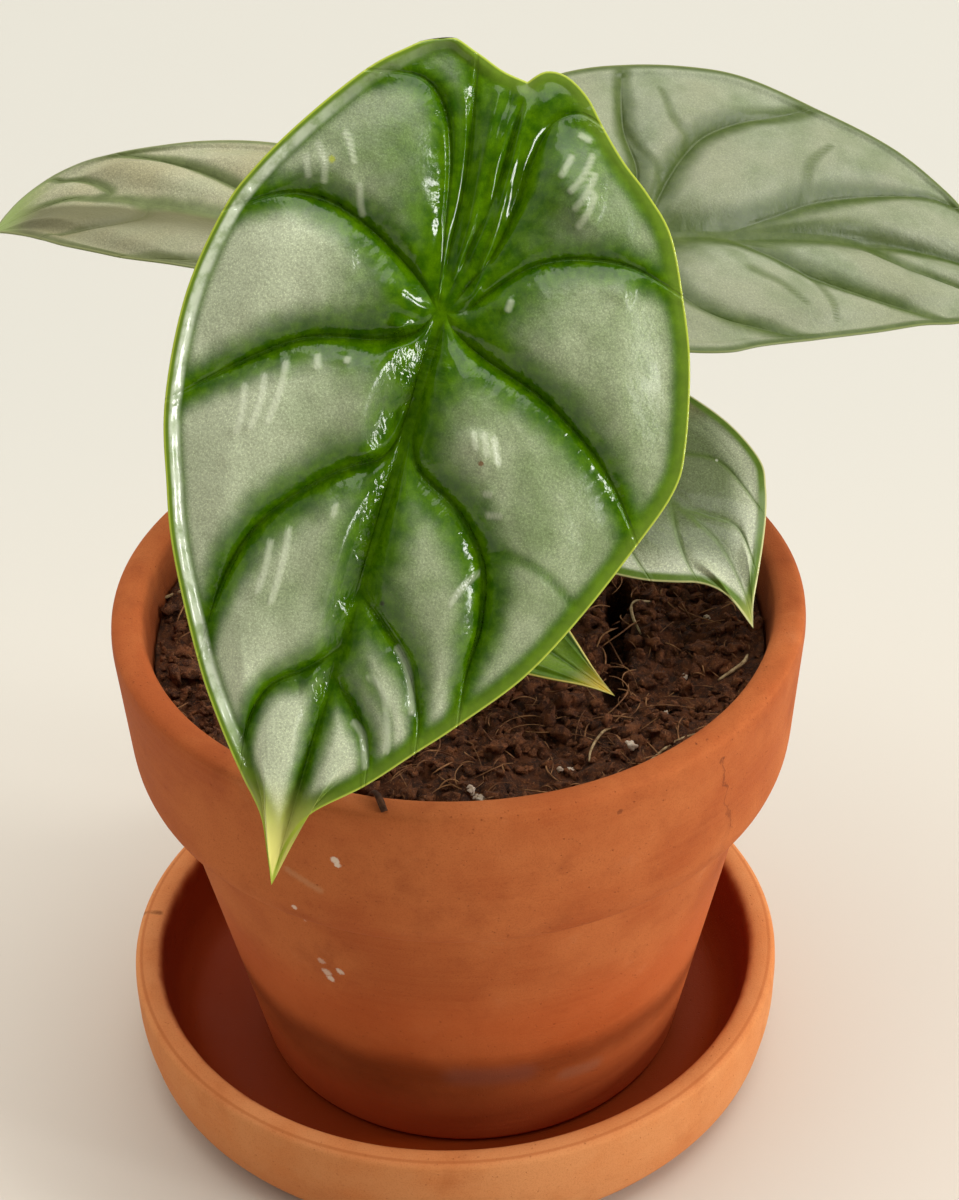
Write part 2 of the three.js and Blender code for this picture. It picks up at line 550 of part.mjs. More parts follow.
// A stalk: round, tapering, its top cut to lie flat under the blade it carries.
function stalk(stem, leaf, grow = 0) {
  const axes = bladeAxes(leaf);
  const top = new THREE.Vector3(...place(leaf, axes, 0, 0, -BLADE - GAP));
  const foot = new THREE.Vector3(...stem.foot, STEM_FOOT - grow);
  const path = new THREE.CatmullRomCurve3([
    foot,
    foot.clone().add(new THREE.Vector3(0, 0, 5)),
    ...stem.via.map((p) => new THREE.Vector3(...p)),
    top,
  ]);
  const points = [foot.toArray()];
  const side = new THREE.Vector3(1, 0, 0);
  for (let i = 0; i <= STEM_STEPS; i += 1) {
    const t = i / STEM_STEPS;
    const centre = path.getPointAt(t);
    const ahead = path.getTangentAt(t);
    side.addScaledVector(ahead, -side.dot(ahead)).normalize();
    const other = new THREE.Vector3().crossVectors(ahead, side);
    const radius = THREE.MathUtils.lerp(stem.radii[0], stem.radii[1], t ** 0.6) + grow;
    for (let j = 0; j < STEM_SIDES; j += 1) {
      const a = (2 * Math.PI * j) / STEM_SIDES;
      const p = centre.clone()
        .addScaledVector(side, radius * Math.cos(a))
        .addScaledVector(other, radius * Math.sin(a));
      if (i === 0) p.z = foot.z;
      if (i === STEM_STEPS) p.addScaledVector(ahead, -p.clone().sub(top).dot(axes.z) / ahead.dot(axes.z));
      points.push(p.toArray());
    }
  }
  const end = points.length;
  points.push(top.toArray());
  const at = (i, j) => 1 + i * STEM_SIDES + (j % STEM_SIDES);
  const faces = [];
  for (let j = 0; j < STEM_SIDES; j += 1) {
    faces.push([0, at(0, j + 1), at(0, j)], [end, at(STEM_STEPS, j), at(STEM_STEPS, j + 1)]);
    for (let i = 0; i < STEM_STEPS; i += 1) {
      faces.push([at(i, j), at(i, j + 1), at(i + 1, j + 1)], [at(i, j), at(i + 1, j + 1), at(i + 1, j)]);
    }
  }
  return closedGeometry(points, faces);
}

saucer();
pot();
const soil = solid(soilBody()).subtract(solid(crownBody(GAP))).subtract(solid(hollowBody()));
add('soil', fromSolid(soil), 'soil');
let crown = solid(crownBody());
Object.entries(STEMS).forEach(([name, stem]) => {
  crown = crown.subtract(solid(stalk(stem, LEAVES[name], GAP)));
});
add('crown', fromSolid(crown), 'crown');
Object.entries(LEAVES).forEach(([name, leaf]) => {
  const look = { front: 'glossy', small: 'young' }[name] ?? 'silver';
  add(`leaf_${name}_blade`, blade(leaf), look);
  add(`leaf_${name}_stem`, stalk(STEMS[name], leaf), 'stem');
});

export default root;
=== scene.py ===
"""A potted silver dragon alocasia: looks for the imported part, in its own frame. Lengths are in
millimetres until a mesh is made, +Z up, the origin on the surface under the saucer's centre."""
import math
from types import SimpleNamespace

import bmesh
import bpy
import numpy as np
from mathutils import Matrix, Vector
from mathutils import noise as mnoise


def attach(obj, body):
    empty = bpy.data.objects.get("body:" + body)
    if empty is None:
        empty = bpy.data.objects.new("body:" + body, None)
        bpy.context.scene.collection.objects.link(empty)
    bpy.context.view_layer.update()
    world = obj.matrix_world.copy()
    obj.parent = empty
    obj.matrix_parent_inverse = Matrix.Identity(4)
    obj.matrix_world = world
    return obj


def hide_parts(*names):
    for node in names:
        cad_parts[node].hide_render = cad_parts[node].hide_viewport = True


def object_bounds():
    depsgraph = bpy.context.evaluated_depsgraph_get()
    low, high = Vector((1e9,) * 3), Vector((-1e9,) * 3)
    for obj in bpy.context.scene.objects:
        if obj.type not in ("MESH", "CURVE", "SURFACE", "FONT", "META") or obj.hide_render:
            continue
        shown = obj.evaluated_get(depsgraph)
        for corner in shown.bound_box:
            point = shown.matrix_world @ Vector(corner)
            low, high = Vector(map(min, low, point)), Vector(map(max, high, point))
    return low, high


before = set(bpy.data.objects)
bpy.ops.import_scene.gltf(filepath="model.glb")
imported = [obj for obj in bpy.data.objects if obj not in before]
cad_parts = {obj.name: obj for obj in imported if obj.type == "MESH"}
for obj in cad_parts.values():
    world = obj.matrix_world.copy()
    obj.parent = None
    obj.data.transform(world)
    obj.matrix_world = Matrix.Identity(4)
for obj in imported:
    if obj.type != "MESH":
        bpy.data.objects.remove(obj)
cad_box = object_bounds()
CAD_LOW, CAD_HIGH = (np.array(corner, float) * 1000 for corner in cad_box)

MM = 0.001
SEED = 20
rng = np.random.default_rng(SEED)
TURN = 2 * math.pi

# Sizes shared with the solids.
GAP = 0.3
SAUCER_HEIGHT = 21.5
SAUCER_RADIUS = 59.6
SAUCER_FOOT_RADIUS = 51
SAUCER_FLOOR = 6
SAUCER_MOUTH_RADIUS = 54.5
POT_AXIS = (2.6, 0.0)
POT_FOOT = SAUCER_FLOOR + GAP
POT_TOP = 99.5
POT_RIM_RADIUS = 60
POT_MOUTH_RADIUS = 54.4
COLLAR_RADIUS = 57.9
BODY_RADIUS = 52.1
FOOT_RADIUS = 38.5
COLLAR_BOTTOM = POT_TOP - 27.1
CREASE = POT_TOP - 33
POT_WALL = 5.2
POT_FLOOR = 6.5
DRAIN_RADIUS = 7
SOIL_LEVEL = POT_TOP - 9
SOIL_RISE = 1.6
SOIL_LUMP = 1.3
HOLLOW_FROM, HOLLOW_TO, HOLLOW_WIDTH, HOLLOW_DEPTH = (28.5, -19.0), (31.0, 12.0), 3.4, 9.0
CROWN_AT = (7.8, 4.3)
CROWN_RADIUS = 8.6
CROWN_BOTTOM = 78
CROWN_SHOULDER = 90
CROWN_TOP = 95
STEM_FOOT = 89.5
BLADE = 0.8
MARGIN = 3
MARGIN_SHARE = 0.22
MARGIN_RISE = 0.8
MARGIN_CREST = 0.45
VALLEY = (5, 2)
PANEL_EDGE = 2.2
PANEL_END = 0.72
WIDEST_PANEL = 20
RIB = 0.7
RIB_LENGTH = 90
SIDES = ("right", "left")
WAVES = [(1.0, 0.31, 0.0), (-0.47, 1.13, 2.1), (0.83, -0.77, 4.4), (1.71, 1.33, 1.2), (-1.93, 0.71, 5.3),
         (0.57, 2.21, 3.3)]
RIPE_TIP = (0.86, 1.0)
DEEPEST_RIB = 1.6

# How far pot and saucer wander from round, and the radius under which a stroke on clay is a hairline.
WANDER = 0.12
HAIRLINE = 0.3

# Meshes: fewest and most rows between two veins, steps and sides of round pieces, rings of the soil.
ROWS = (12, 64)
STEM_STEPS = 90
STEM_SIDES = 20
TURNED_SIDES = 256
SOIL_SPOKES = 300
SOIL_RINGS = 112

# How far apart the patterns along the veins start, and the length of a crimp.
RUN_APART = 37.3
CRIMP_LENGTH = 1.9

# Loose bits on the soil, and how far back scattered perlite starts.
CRUMBS = 2200
CRUMB_SIZES = [0.5, 0.75, 1.05, 1.5]
CRUMB_SHARES = [0.4, 0.34, 0.2, 0.06]
FIBRES = 480
FIBRE_LENGTHS = (1.5, 10)
FIBRE_RADII = (0.06, 0.16)
BACK_FROM = 12

# Tones in 0-255 display values: painted highlight on puckers, ribs and shade below the leaves, lime bloom on
# clay.
PUCKER_HIGHLIGHT_TONE = (208, 214, 190)
VEIN_BELOW = (158, 178, 112)
SHADE_BELOW = (112, 138, 78)
BLOOM_TONE = (206, 160, 126)

# In metres: the camera's place and axes, the floor's side, and the point that the lights aim at.
CAMERA_AT = (0.0026, -0.465, 0.4375)
CAMERA_RIGHT = (0.999441, -0.024490, -0.022622)
CAMERA_UP = (0.032707, 0.588671, 0.807711)
CAMERA_FORWARD = (0.006464, 0.808002, -0.589145)
FLOOR_SIZE = 4.0
TARGET = (0, -0.01, 0.10)
ROOM_COLOUR = (1.0, 0.955, 0.88, 1)
DARK_FRONT = 0.06
HORIZON = 0.9
ZENITH = 1.07

# Blade outlines and veins are in the blade's own plane: x across, y from the tip (negative) towards
# the lobes, 0,0 at the junction where the stalk joins. A vein is given by its start as a share of the
# midrib, the points on its way, and the point of the edge that it runs to.
LEAVES = {
    "front": dict(junction=(1.5, -31, 175.4), yaw=-122.9, slope=54.2, roll=-26.2, length=92.7, fold=0.1,
        cup=0.25, droop=0.06, back=0.25, panel=0.14, ripe=(0.8, 0.98),
        midrib=[(0, 0), (0.3, -30), (0, -60), (0, -92.7)], sinus=[(0.8, 6), (2.6, 17), (3, 27.5)],
        right=dict(edge=[(2.5, 37), (4.7, 39.3), (8, 39.5), (12, 37.3), (15.5, 33.7), (20, 29.5), (25, 25.8),
            (30, 21), (34.5, 12.5), (38.5, 3), (41.5, -9), (41.8, -16), (38.8, -25.5), (33.5, -39),
            (28, -50), (20.5, -60), (15.5, -66), (9.5, -73.2), (3.1, -79.4), (0.9, -83.8), (0.1, -88.4),
            (0, -92.7)],
            veins=[(0, [(2.2, 3), (5, 10), (6.6, 18), (6.8, 26), (8, 32), (11.5, 34.6)], 4),
                   (0, [(3.3, 0.9), (6.4, 4.9), (11.5, 10.5), (18, 13.5), (26, 14.5)], 8),
                   (0, [(2.6, -2.2), (8, -4.9), (18, -8.2), (27, -13.3), (33, -18.5)], 12),
                   (0.21, [(3.5, -24), (10.9, -28.2), (17.1, -35.1), (19.4, -44), (19.4, -52)], 15),
                   (0.5, [(4.5, -47.8), (10.6, -53.1), (14.2, -60)], 16),
                   (0.65, [(4.4, -62), (8, -66.5)], 17)]),
        left=dict(edge=[(2.5, 37), (-1.5, 37.5), (-6, 39), (-11.5, 40.2), (-16.5, 36.5), (-21.5, 31.5),
            (-28, 22), (-33, 13), (-36, 5), (-37.8, -9), (-36.3, -25), (-32.5, -37), (-28.5, -47),
            (-20.5, -61.5), (-15, -69.5), (-9.5, -76.5), (-4.7, -82.2), (-2, -88), (0, -92.7)],
            veins=[(0, [(-1.4, 10), (-2, 19), (-3.4, 27)], 2),
                   (0, [(-3, 12), (-5.4, 22.5), (-8.6, 29.8), (-13.5, 33)], 5),
                   (0, [(-4, 3), (-8.5, 6), (-14.3, 9), (-21, 11), (-28, 10.2)], 8),
                   (0, [(-2.6, -4), (-7.6, -6.7), (-17.7, -9.4), (-25.3, -14.7)], 10),
                   (0.2, [(-2, -23.5), (-8.8, -28.4), (-16.9, -38), (-20, -48)], 13),
                   (0.6, [(-4, -58), (-9, -62.5), (-10.4, -69)], 15)])),
    "right": dict(junction=(37, 25, 155.1), yaw=17, slope=13, roll=22, length=78, fold=0.28, cup=0.32,
        droop=0.1, back=0.1, panel=0.1,
        midrib=[(0, 0), (1, -20), (0.6, -42), (-2, -60), (-7, -77)], sinus=[(0.3, 9), (0.8, 18)],
        right=dict(edge=[(1, 26), (6, 29.5), (13, 30), (21, 26.5), (27.5, 20), (32, 9), (34.3, -2),
            (34.6, -14), (33, -25), (27.1, -38), (20, -52), (13, -61), (9, -65), (2, -71), (-3, -74.3),
            (-7, -77)],
            veins=[(0, [(4, 10), (8, 18), (14, 24)], 3), (0, [(6, 1.2), (13, 0), (21, 0.7)], 6),
                   (0, [(6, -2.2), (14, -8), (19.5, -14), (23, -22), (25, -31)], 9),
                   (0.2, [(4.5, -24.7), (7.5, -33), (10, -46), (11, -57)], 12)]),
        left=dict(edge=[(1, 26), (-4, 28.5), (-11, 29.5), (-19, 26), (-25, 17), (-28.5, 6), (-29, -4),
            (-27.5, -11), (-25.8, -21), (-23.5, -34), (-21, -44), (-19.7, -51), (-17, -60), (-13.5, -67.5),
            (-10, -73), (-7, -77)],
            veins=[(0, [(-3, 9), (-6.5, 17), (-12, 23)], 3), (0, [(-7, 4.5), (-14.5, 7)], 5),
                   (0, [(-8, 1.5), (-16, -0.7), (-20.5, -5.5), (-23, -12)], 8),
                   (0.19, [(-5, -21.6), (-10, -27), (-13.5, -34), (-17, -43)], 11),
                   (0.5, [(-5, -47), (-9, -56)], 13)])),
    "left": dict(junction=(-22, 25, 157.2), yaw=158, slope=-3, roll=-2, length=55, fold=0.08, cup=0,
        droop=0.15, back=0.05, twist=0.2, panel=0.1,
        midrib=[(0, 0), (-0.6, -18), (-1.6, -36), (-0.6, -47), (5.5, -55.5)], sinus=[(0, 6), (0, 12)],
        right=dict(edge=[(0, 18), (4, 20.5), (9.5, 20), (14, 15), (16.5, 6), (16.8, -5), (16.4, -16),
            (15.8, -26), (13.4, -37), (10.4, -44), (8, -50), (5.5, -55.5)],
            veins=[(0, [(2.5, 7), (6, 14)], 2), (0, [(5, -0.5), (10.5, -4.5), (14, -12)], 7),
                   (0.4, [(2, -28), (6, -33)], 9)]),
        left=dict(edge=[(0, 18), (-4, 20.8), (-11, 21.5), (-17.5, 17.5), (-22, 9), (-22.8, -4), (-21, -15),
            (-18, -25), (-15, -33), (-12, -41.5), (-9.5, -46.8), (-6, -51.5), (-0.5, -55), (5.5, -55.5)],
            veins=[(0, [(-2.5, 7), (-6, 14)], 2), (0, [(-6, 1.5), (-13, 2)], 5),
                   (0, [(-5, -6), (-8.8, -15.7), (-11, -24), (-12.2, -34)], 9),
                   (0.55, [(-3.5, -37), (-6, -43)], 11)])),
    "lower": dict(junction=(27.9, 14, 119.4), yaw=-45, slope=20, roll=20, length=41, fold=0.03, cup=0.3,
        droop=0.1, back=0.1, panel=0.11,
        midrib=[(0, 0), (1.2, -9), (2.2, -18), (2.2, -27), (-0.8, -36), (-3.8, -41)],
        sinus=[(0, 4.5), (0, 9)],
        right=dict(edge=[(0, 13.5), (3.5, 15.5), (9, 15), (14.5, 11), (18, 4), (19.9, -4), (20.6, -12),
            (19.3, -20), (16.2, -24.3), (12, -28.4), (7.5, -32), (3, -35.3), (-1, -38.2), (-3.8, -41)],
            veins=[(0, [(2, 5), (5, 10.5)], 2), (0, [(6, 1.5), (12, 3)], 4),
                   (0, [(5, -4.5), (10.4, -10.6), (13.8, -16.5)], 9),
                   (0.4, [(4.5, -21.5), (6.8, -27)], 11)]),
        left=dict(edge=[(0, 13.5), (-3.5, 15.3), (-9, 14.6), (-14, 10.5), (-17, 3), (-17.7, -6),
            (-16.5, -14), (-14, -19.2), (-11, -23.5), (-8, -26.8), (-5.3, -29.5), (-3.6, -32.8),
            (-3.2, -36.5), (-3.8, -41)],
            veins=[(0, [(-2, 5), (-5, 10)], 2), (0, [(-5, 0.5), (-11, -1.5)], 5),
                   (0, [(-3.5, -5), (-8, -12)], 8), (0.35, [(-1.4, -20), (-4, -25)], 10)])),
    "small": dict(junction=(7.8, -13, 105.9), yaw=-40, slope=13, roll=18, length=27, fold=0.12, cup=0.1,
        droop=0, back=0, panel=0.05, ripe=(0.66, 1.02),
        midrib=[(0, 0), (0, -14), (0, -27)], sinus=[(0, 1.5), (0, 3.2)],
        right=dict(edge=[(0, 5), (2.5, 6.5), (5.5, 5.5), (7.5, 1.5), (7.5, -4), (6.2, -10), (4.3, -15),
            (1.5, -22), (0, -27)],
            veins=[(0, [(2, -1), (5, -4)], 5)]),
        left=dict(edge=[(0, 5), (-2.5, 6.5), (-5.5, 5.8), (-7.8, 2), (-8.3, -4), (-7.5, -10), (-5.2, -15.5),
            (-1.6, -22.5), (0, -27)],
            veins=[(0, [(-2, -1), (-5.5, -4)], 5)])),
}
STEMS = {
    "front": dict(foot=(10.6, 2.2), radii=(2.3, 1.7),
                  via=[(11, 1.5, 108), (9.8, -4, 128), (7, -12, 147), (4, -21, 163)]),
    "right": dict(foot=(6.4, 9.2), radii=(2.2, 1.6),
                  via=[(4.2, 16, 113), (7.6, 21.5, 131), (16, 25, 143.5), (27, 26.2, 149.6)]),
    "left": dict(foot=(3, 4.8), radii=(2, 1.5),
                 via=[(-0.5, 8, 113), (-5.4, 14.5, 134), (-12.6, 20.8, 147.5)]),
    "lower": dict(foot=(12.8, 7.2), radii=(1.8, 1.3), via=[(15, 8.6, 102), (20, 12, 109.5)]),
    "small": dict(foot=(6.4, -1), radii=(1.3, 0.9), via=[(6.2, -4.5, 97.5), (7, -9, 100)]),
}

# How finely each blade is meshed and how deeply it is quilted. Margins are for the right and left half.
DETAIL = {
    "front": dict(every=0.66, inner=90, outer=12, flank=1.1, flank_width=2.6, wrinkle=0.07, vein_width=1.0,
                  heart=11, sinus=0.38, quilt=0.95, roll=1.1, pinch=1.15, valley=(2.6, 1.25),
                  margin=(0.1, 0.0)),
    "right": dict(every=0.8, inner=64, outer=9, flank=0.9, flank_width=3.2, wrinkle=0.03, vein_width=0.8,
                  heart=6, sinus=0.4, quilt=0.9, roll=0.1, pinch=1.4, margin=(0.6, 0.6)),
    "left": dict(every=0.8, inner=48, outer=8, flank=0.7, flank_width=3.0, wrinkle=0.03, vein_width=0.7,
                 heart=5, sinus=0.6, quilt=0.8, roll=0.1, pinch=1.4, margin=(0.6, 0.6)),
    "lower": dict(every=0.7, inner=44, outer=8, flank=0.22, flank_width=1.8, wrinkle=0.015, vein_width=0.55,
                  heart=4, sinus=0.6, quilt=0.22, roll=0.0, pinch=1.5, margin=(0.2, 0.2)),
    "small": dict(every=0.5, inner=30, outer=6, flank=0.15, flank_width=1.2, wrinkle=0.01, vein_width=0.4,
                  heart=2, sinus=1.0, quilt=0.8, roll=0.0, pinch=1.6, margin=(0.6, 0.6)),
}

# Raised folds beside the front leaf's notch: points in the blade's plane, height and half width.
FRONT_FOLDS = [
    ([(0.6, 4.6), (0.4, 14.2), (-0.3, 23.3), (-0.8, 30.3), (-0.9, 35.5)], 0.7, 0.7),
    ([(2, 8.4), (2.5, 13.2), (2.5, 17.2), (1.6, 24.3), (1.7, 30.4), (2.4, 36.6)], 0.55, 0.8),
    ([(2.7, 2.1), (4.1, 4.1), (4.2, 9), (4.4, 14.1), (4.1, 20), (3.8, 25.6), (3.3, 31.5), (2.8, 36.1)],
     0.6, 0.65),
    ([(-0.6, 1), (-2.1, 7.6), (-3.9, 15.7), (-5.8, 22.3), (-8, 27.6)], 0.5, 0.7),
]

# Broad shoulders of the front leaf's panels: place, spread across and along, and rise.
SHOULDERS = [((-7.0, -15.5), (3.8, 8.5), 1.25), ((-7.5, 0.4), (3.8, 3.0), 0.8),
             ((-6.8, -38.0), (3.4, 9.0), 0.8), ((-6.0, -54.0), (3.0, 5.0), 0.5)]

# Swells of the front leaf's panels, gentle on the left and steep on the right: the foot of the steep
# side, going towards the lobes, the rise, and the widths of the steep and the gentle side.
SWELLS = [([(17.4, 15.6), (18.9, 20.5), (18.5, 25.5), (16.4, 31.0)], 1.6, 2.6, 5.5),
          ([(16.2, -22.0), (14.4, -17.5), (12.8, -13.6)], 0.75, 2.8, 4.0),
          ([(-12.4, 0.6), (-13.6, 3.4), (-15.6, 8.6)], 0.4, 1.6, 3.0),
          ([(27.2, 7.6), (27.6, 10.4), (26.6, 13.6)], 0.6, 1.6, 3.0)]
SWELL_FADE = 4.0

# The even bank on the left of the front leaf's midrib: its slope, its width above and below the fourth
# vein, and that vein's course.
BANK_SLOPE = 0.62
BANK_ABOVE = 5.2
BANK_BELOW = ([-74, -60, -30, -24], [1.6, 3.3, 3.0, 2.6])
FOURTH_VEIN = ([0, 1.5, 5, 8.3], [-18.5, -23.5, -26, -28.4])

# Puckers: fine short creases across the front leaf's panels, and their height, widths and taper.
PUCKERS = [[(-25.5, 20.1), (-22.7, 16.2), (-21.9, 12.5)], [(-26.3, 17.8), (-24.1, 12.9)],
           [(-22.3, 22.6), (-20.3, 20.8), (-17.9, 16.8)], [(-17.1, 15.8), (-15.8, 12), (-14.6, 9.7)],
           [(-25.2, -18.1), (-24, -22.8), (-24, -27.5)], [(-20, -12.9), (-19.4, -18.2), (-20, -24.8)],
           [(-22.6, -15.8), (-21.8, -20.4), (-22.2, -26.2)], [(-15.8, -10.5), (-14.8, -14.5)],
           [(-11.1, -9.9), (-10.9, -12.2)], [(-12.5, -36.8), (-11.7, -42.9), (-11.7, -51)],
           [(-14.6, -39.5), (-14, -44.5), (-14.2, -50)], [(-6.6, -31.5), (-6.2, -35.7)],
           [(11.7, 23.4), (12.9, 29)], [(13.3, 21.5), (15.1, 25.2), (15.7, 30.1)],
           [(14.8, 19.2), (16.4, 23), (16.9, 27.4)], [(16.1, 16.8), (17.4, 20.4), (17.7, 24.4)],
           [(11.5, 32), (15.4, 31.3)], [(10.2, 5.5), (10, 1.9)], [(9.9, -15), (11.9, -19.1)],
           [(11.5, -14.6), (13.8, -19.6)], [(13, -14.8), (15.7, -20.3)], [(13.4, -25), (16.2, -24.5)],
           [(14.6, -28.1), (18.7, -27.1)], [(17.7, -35.7), (15.2, -39.6), (14.3, -43.1)],
           [(4.4, -55.5), (8.3, -57.8), (10.8, -63.6), (11.8, -68.1)],
           [(7.6, -50), (11.1, -53.7), (14, -60.9)], [(4.2, -63.2), (7.3, -65.4), (9.4, -71.3)]]
PUCKER_RISE = 0.32
PUCKER_STEEP = 0.85
PUCKER_GENTLE = 1.6
PUCKER_FADE = 1.2

# Minor veins: thin, shallow and green, in each blade's own plane.
MINOR_VEINS = {
    "front": [[(14.6, -33.8), (16.4, -33.1), (20.8, -32.4), (25.5, -33.2), (28.8, -34.9), (33.8, -38)],
              [(4, -55.2), (5.1, -56.5), (8.1, -59.6), (10.4, -62.7), (11.8, -67.4)]],
    "right": [[(9, -4.4), (12.4, -3.6), (15.4, -1.3), (21, 0.7), (29.2, -0.1)],
              [(15.8, -10.2), (18.8, -10.7), (21.8, -8), (28.9, -7.8)],
              [(-10.5, -14.5), (-14.3, -18.8), (-18.6, -21.6)],
              [(-9.6, -26), (-13.1, -26.4), (-21.2, -26.9)],
              [(8, -31), (12.3, -31.9), (14.9, -34.1), (17.5, -37.7)]],
}


def smoothstep(x, low, high):
    s = np.clip((x - low) / (high - low), 0, 1)
    return s * s * (3 - 2 * s)


def lerp(a, b, t):
    return a + (b - a) * t


def spline(points, t):
    """Uniform Catmull-Rom through the points, t from 0 to 1."""
    points = np.asarray(points, float)
    last = len(points) - 1
    along = np.clip(np.asarray(t, float), 0, 1) * last
    i = np.minimum(along.astype(int), last - 1)
    w = (along - i)[..., None]
    p0, p1 = points[np.maximum(i - 1, 0)], points[i]
    p2, p3 = points[i + 1], points[np.minimum(i + 2, last)]
    v0, v1 = (p2 - p0) / 2, (p3 - p1) / 2
    return (2 * (p1 - p2) + v0 + v1) * w ** 3 + (3 * (p2 - p1) - 2 * v0 - v1) * w ** 2 + v0 * w + p1


def drawn(points, count):
    """The spline as a polyline of this many points."""
    return spline(points, np.linspace(0, 1, count))


def evenly(dense, shares):
    """The points of a dense path at these shares of its length."""
    run = np.append(0, np.cumsum(np.linalg.norm(np.diff(dense, axis=0), axis=1)))
    return np.stack([np.interp(np.asarray(shares) * run[-1], run, column) for column in dense.T], -1)


def by_length(points, shares):
    return evenly(drawn(points, 600), shares)


def centripetal(points, count):
    """A smooth path through 3-D points, evenly spaced."""
    points = [np.asarray(p, float) for p in points]
    points = [2 * points[0] - points[1], *points, 2 * points[-1] - points[-2]]
    dense = []
    for i in range(1, len(points) - 2):
        p0, p1, p2, p3 = points[i - 1:i + 3]
        d0, d1, d2 = (max(np.linalg.norm(b - a) ** 0.5, 1e-4) for a, b in ((p0, p1), (p1, p2), (p2, p3)))
        t1 = ((p1 - p0) / d0 - (p2 - p0) / (d0 + d1) + (p2 - p1) / d1) * d1
        t2 = ((p2 - p1) / d1 - (p3 - p1) / (d1 + d2) + (p3 - p2) / d2) * d1
        for w in np.arange(60) / 60:
            dense.append((2 * p1 - 2 * p2 + t1 + t2) * w ** 3 + (-3 * p1 + 3 * p2 - 2 * t1 - t2) * w ** 2
                         + t1 * w + p1)
    return evenly(np.array([*dense, points[-2]]), np.linspace(0, 1, count))


def to_line(p, line):
    """Distance of each point to a polyline, how far along it the nearest place is, and its length."""
    line = np.asarray(line, float)
    best = np.full(len(p), np.inf)
    run = np.zeros(len(p))
    walked = 0.0
    for a, b in zip(line[:-1], line[1:]):
        step = b - a
        length = np.linalg.norm(step)
        if length < 1e-9:
            continue
        s = np.clip((p - a) @ step / length ** 2, 0, 1)
        away = np.linalg.norm(p - a - s[:, None] * step, axis=1)
        near = away < best
        best[near] = away[near]
        run[near] = walked + s[near] * length
        walked += length
    return best, run, walked


def one_sided(p, line, fade):
    """Distance of each point to the left of a line that goes towards the lobes, negative to its right,
    and a taper towards the line's ends."""
    path = drawn(line, 20)
    away, walked, length = to_line(p, path)
    reached = np.append(0, np.cumsum(np.hypot(*np.diff(path, axis=0).T)))
    near_x, near_y = (np.interp(walked, reached, path[:, i]) for i in (0, 1))
    ahead_x, ahead_y = (np.interp(walked, reached, np.gradient(path[:, i])) for i in (0, 1))
    right = np.sign((p[:, 0] - near_x) * ahead_y - (p[:, 1] - near_y) * ahead_x)
    fade = min(fade, 0.35 * length)
    return -right * away, smoothstep(walked, 0, fade) * smoothstep(length - walked, 0, fade)


def wobble(x, y, seed=0.0):
    """Smooth cheap noise in the plane, about -1 to 1."""
    total = np.zeros(np.shape(x))
    for k, (a, b, c) in enumerate(WAVES):
        total = total + np.sin(a * x + b * y + c + seed * (k + 1)) / (1 + 0.35 * k)
    return total / 2.6


def make(name, points, faces, material, slot, replaces=(), attributes=None):
    """A piece from points in millimetres: rides on the part's one body and stands for its CAD nodes."""
    points = np.clip(np.asarray(points, float), CAD_LOW, CAD_HIGH)
    mesh = bpy.data.meshes.new(name)
    mesh.from_pydata((points * MM).tolist(), [], [list(map(int, f)) for f in faces])
    for key, values in (attributes or {}).items():
        layer = mesh.attributes.new(key, "FLOAT", "POINT")
        layer.data.foreach_set("value", np.asarray(values, np.float32))
    mesh.shade_smooth()
    mesh.materials.append(material)
    piece = bpy.data.objects.new(name, mesh)
    bpy.context.scene.collection.objects.link(piece)
    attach(piece, "root")
    if replaces:
        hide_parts(*replaces)


def turned(profile, segments, ripple):
    """Points and faces of a closed turned body. The profile is a closed loop of [radius, height]; places
    at radius 0 become one point."""
    angles = np.arange(segments) * TURN / segments
    points, rings = [], []
    for r, z in np.asarray(profile, float):
        if r < 1e-6:
            rings.append([len(points)])
            points.append((0, 0, z))
            continue
        rings.append(list(range(len(points), len(points) + segments)))
        rr = r + ripple(angles, r, z)
        points.extend(np.stack([rr * np.cos(angles), rr * np.sin(angles), np.full(segments, z)], 1).tolist())
    faces = []
    closed = len(rings[0]) > 1
    for a, b in zip(rings, rings[1:] + rings[:1] if closed else rings[1:]):
        for j in range(segments if len(a) + len(b) > 2 else 0):
            m = (j + 1) % segments
            face = (a[j % len(a)], a[m % len(a)], b[m % len(b)], b[j % len(b)])
            faces.append(tuple(dict.fromkeys(face)))
    return np.array(points), faces


def rounded(corners, steps=6):
    """A closed profile with each corner [r, z, radius] rounded off."""
    out = []
    for i, (r, z, radius) in enumerate(corners):
        here = np.array([r, z], float)
        if radius <= 0:
            out.append(here)
            continue
        ends = []
        for k in (i - 1, i + 1):
            other = np.array(corners[k % len(corners)][:2], float)
            far = np.linalg.norm(other - here)
            ends.append(lerp(here, other, min(radius, 0.45 * far) / far))
        a, b = ends
        for t in np.linspace(0, 1, steps + 1):
            out.append((1 - t) ** 2 * a + 2 * t * (1 - t) * here + t ** 2 * b)
    return np.array(out)


def refine(profile, longest):
    """Adds points to a closed profile so that no side is longer than this."""
    out = []
    for a, b in zip(profile, np.roll(profile, -1, axis=0)):
        on_axis = a[0] < 1e-6 and b[0] < 1e-6
        steps = 1 if on_axis else max(1, math.ceil(np.linalg.norm(b - a) / longest))
        out.extend(lerp(a, b, k / steps) for k in range(steps))
    return np.array(out)


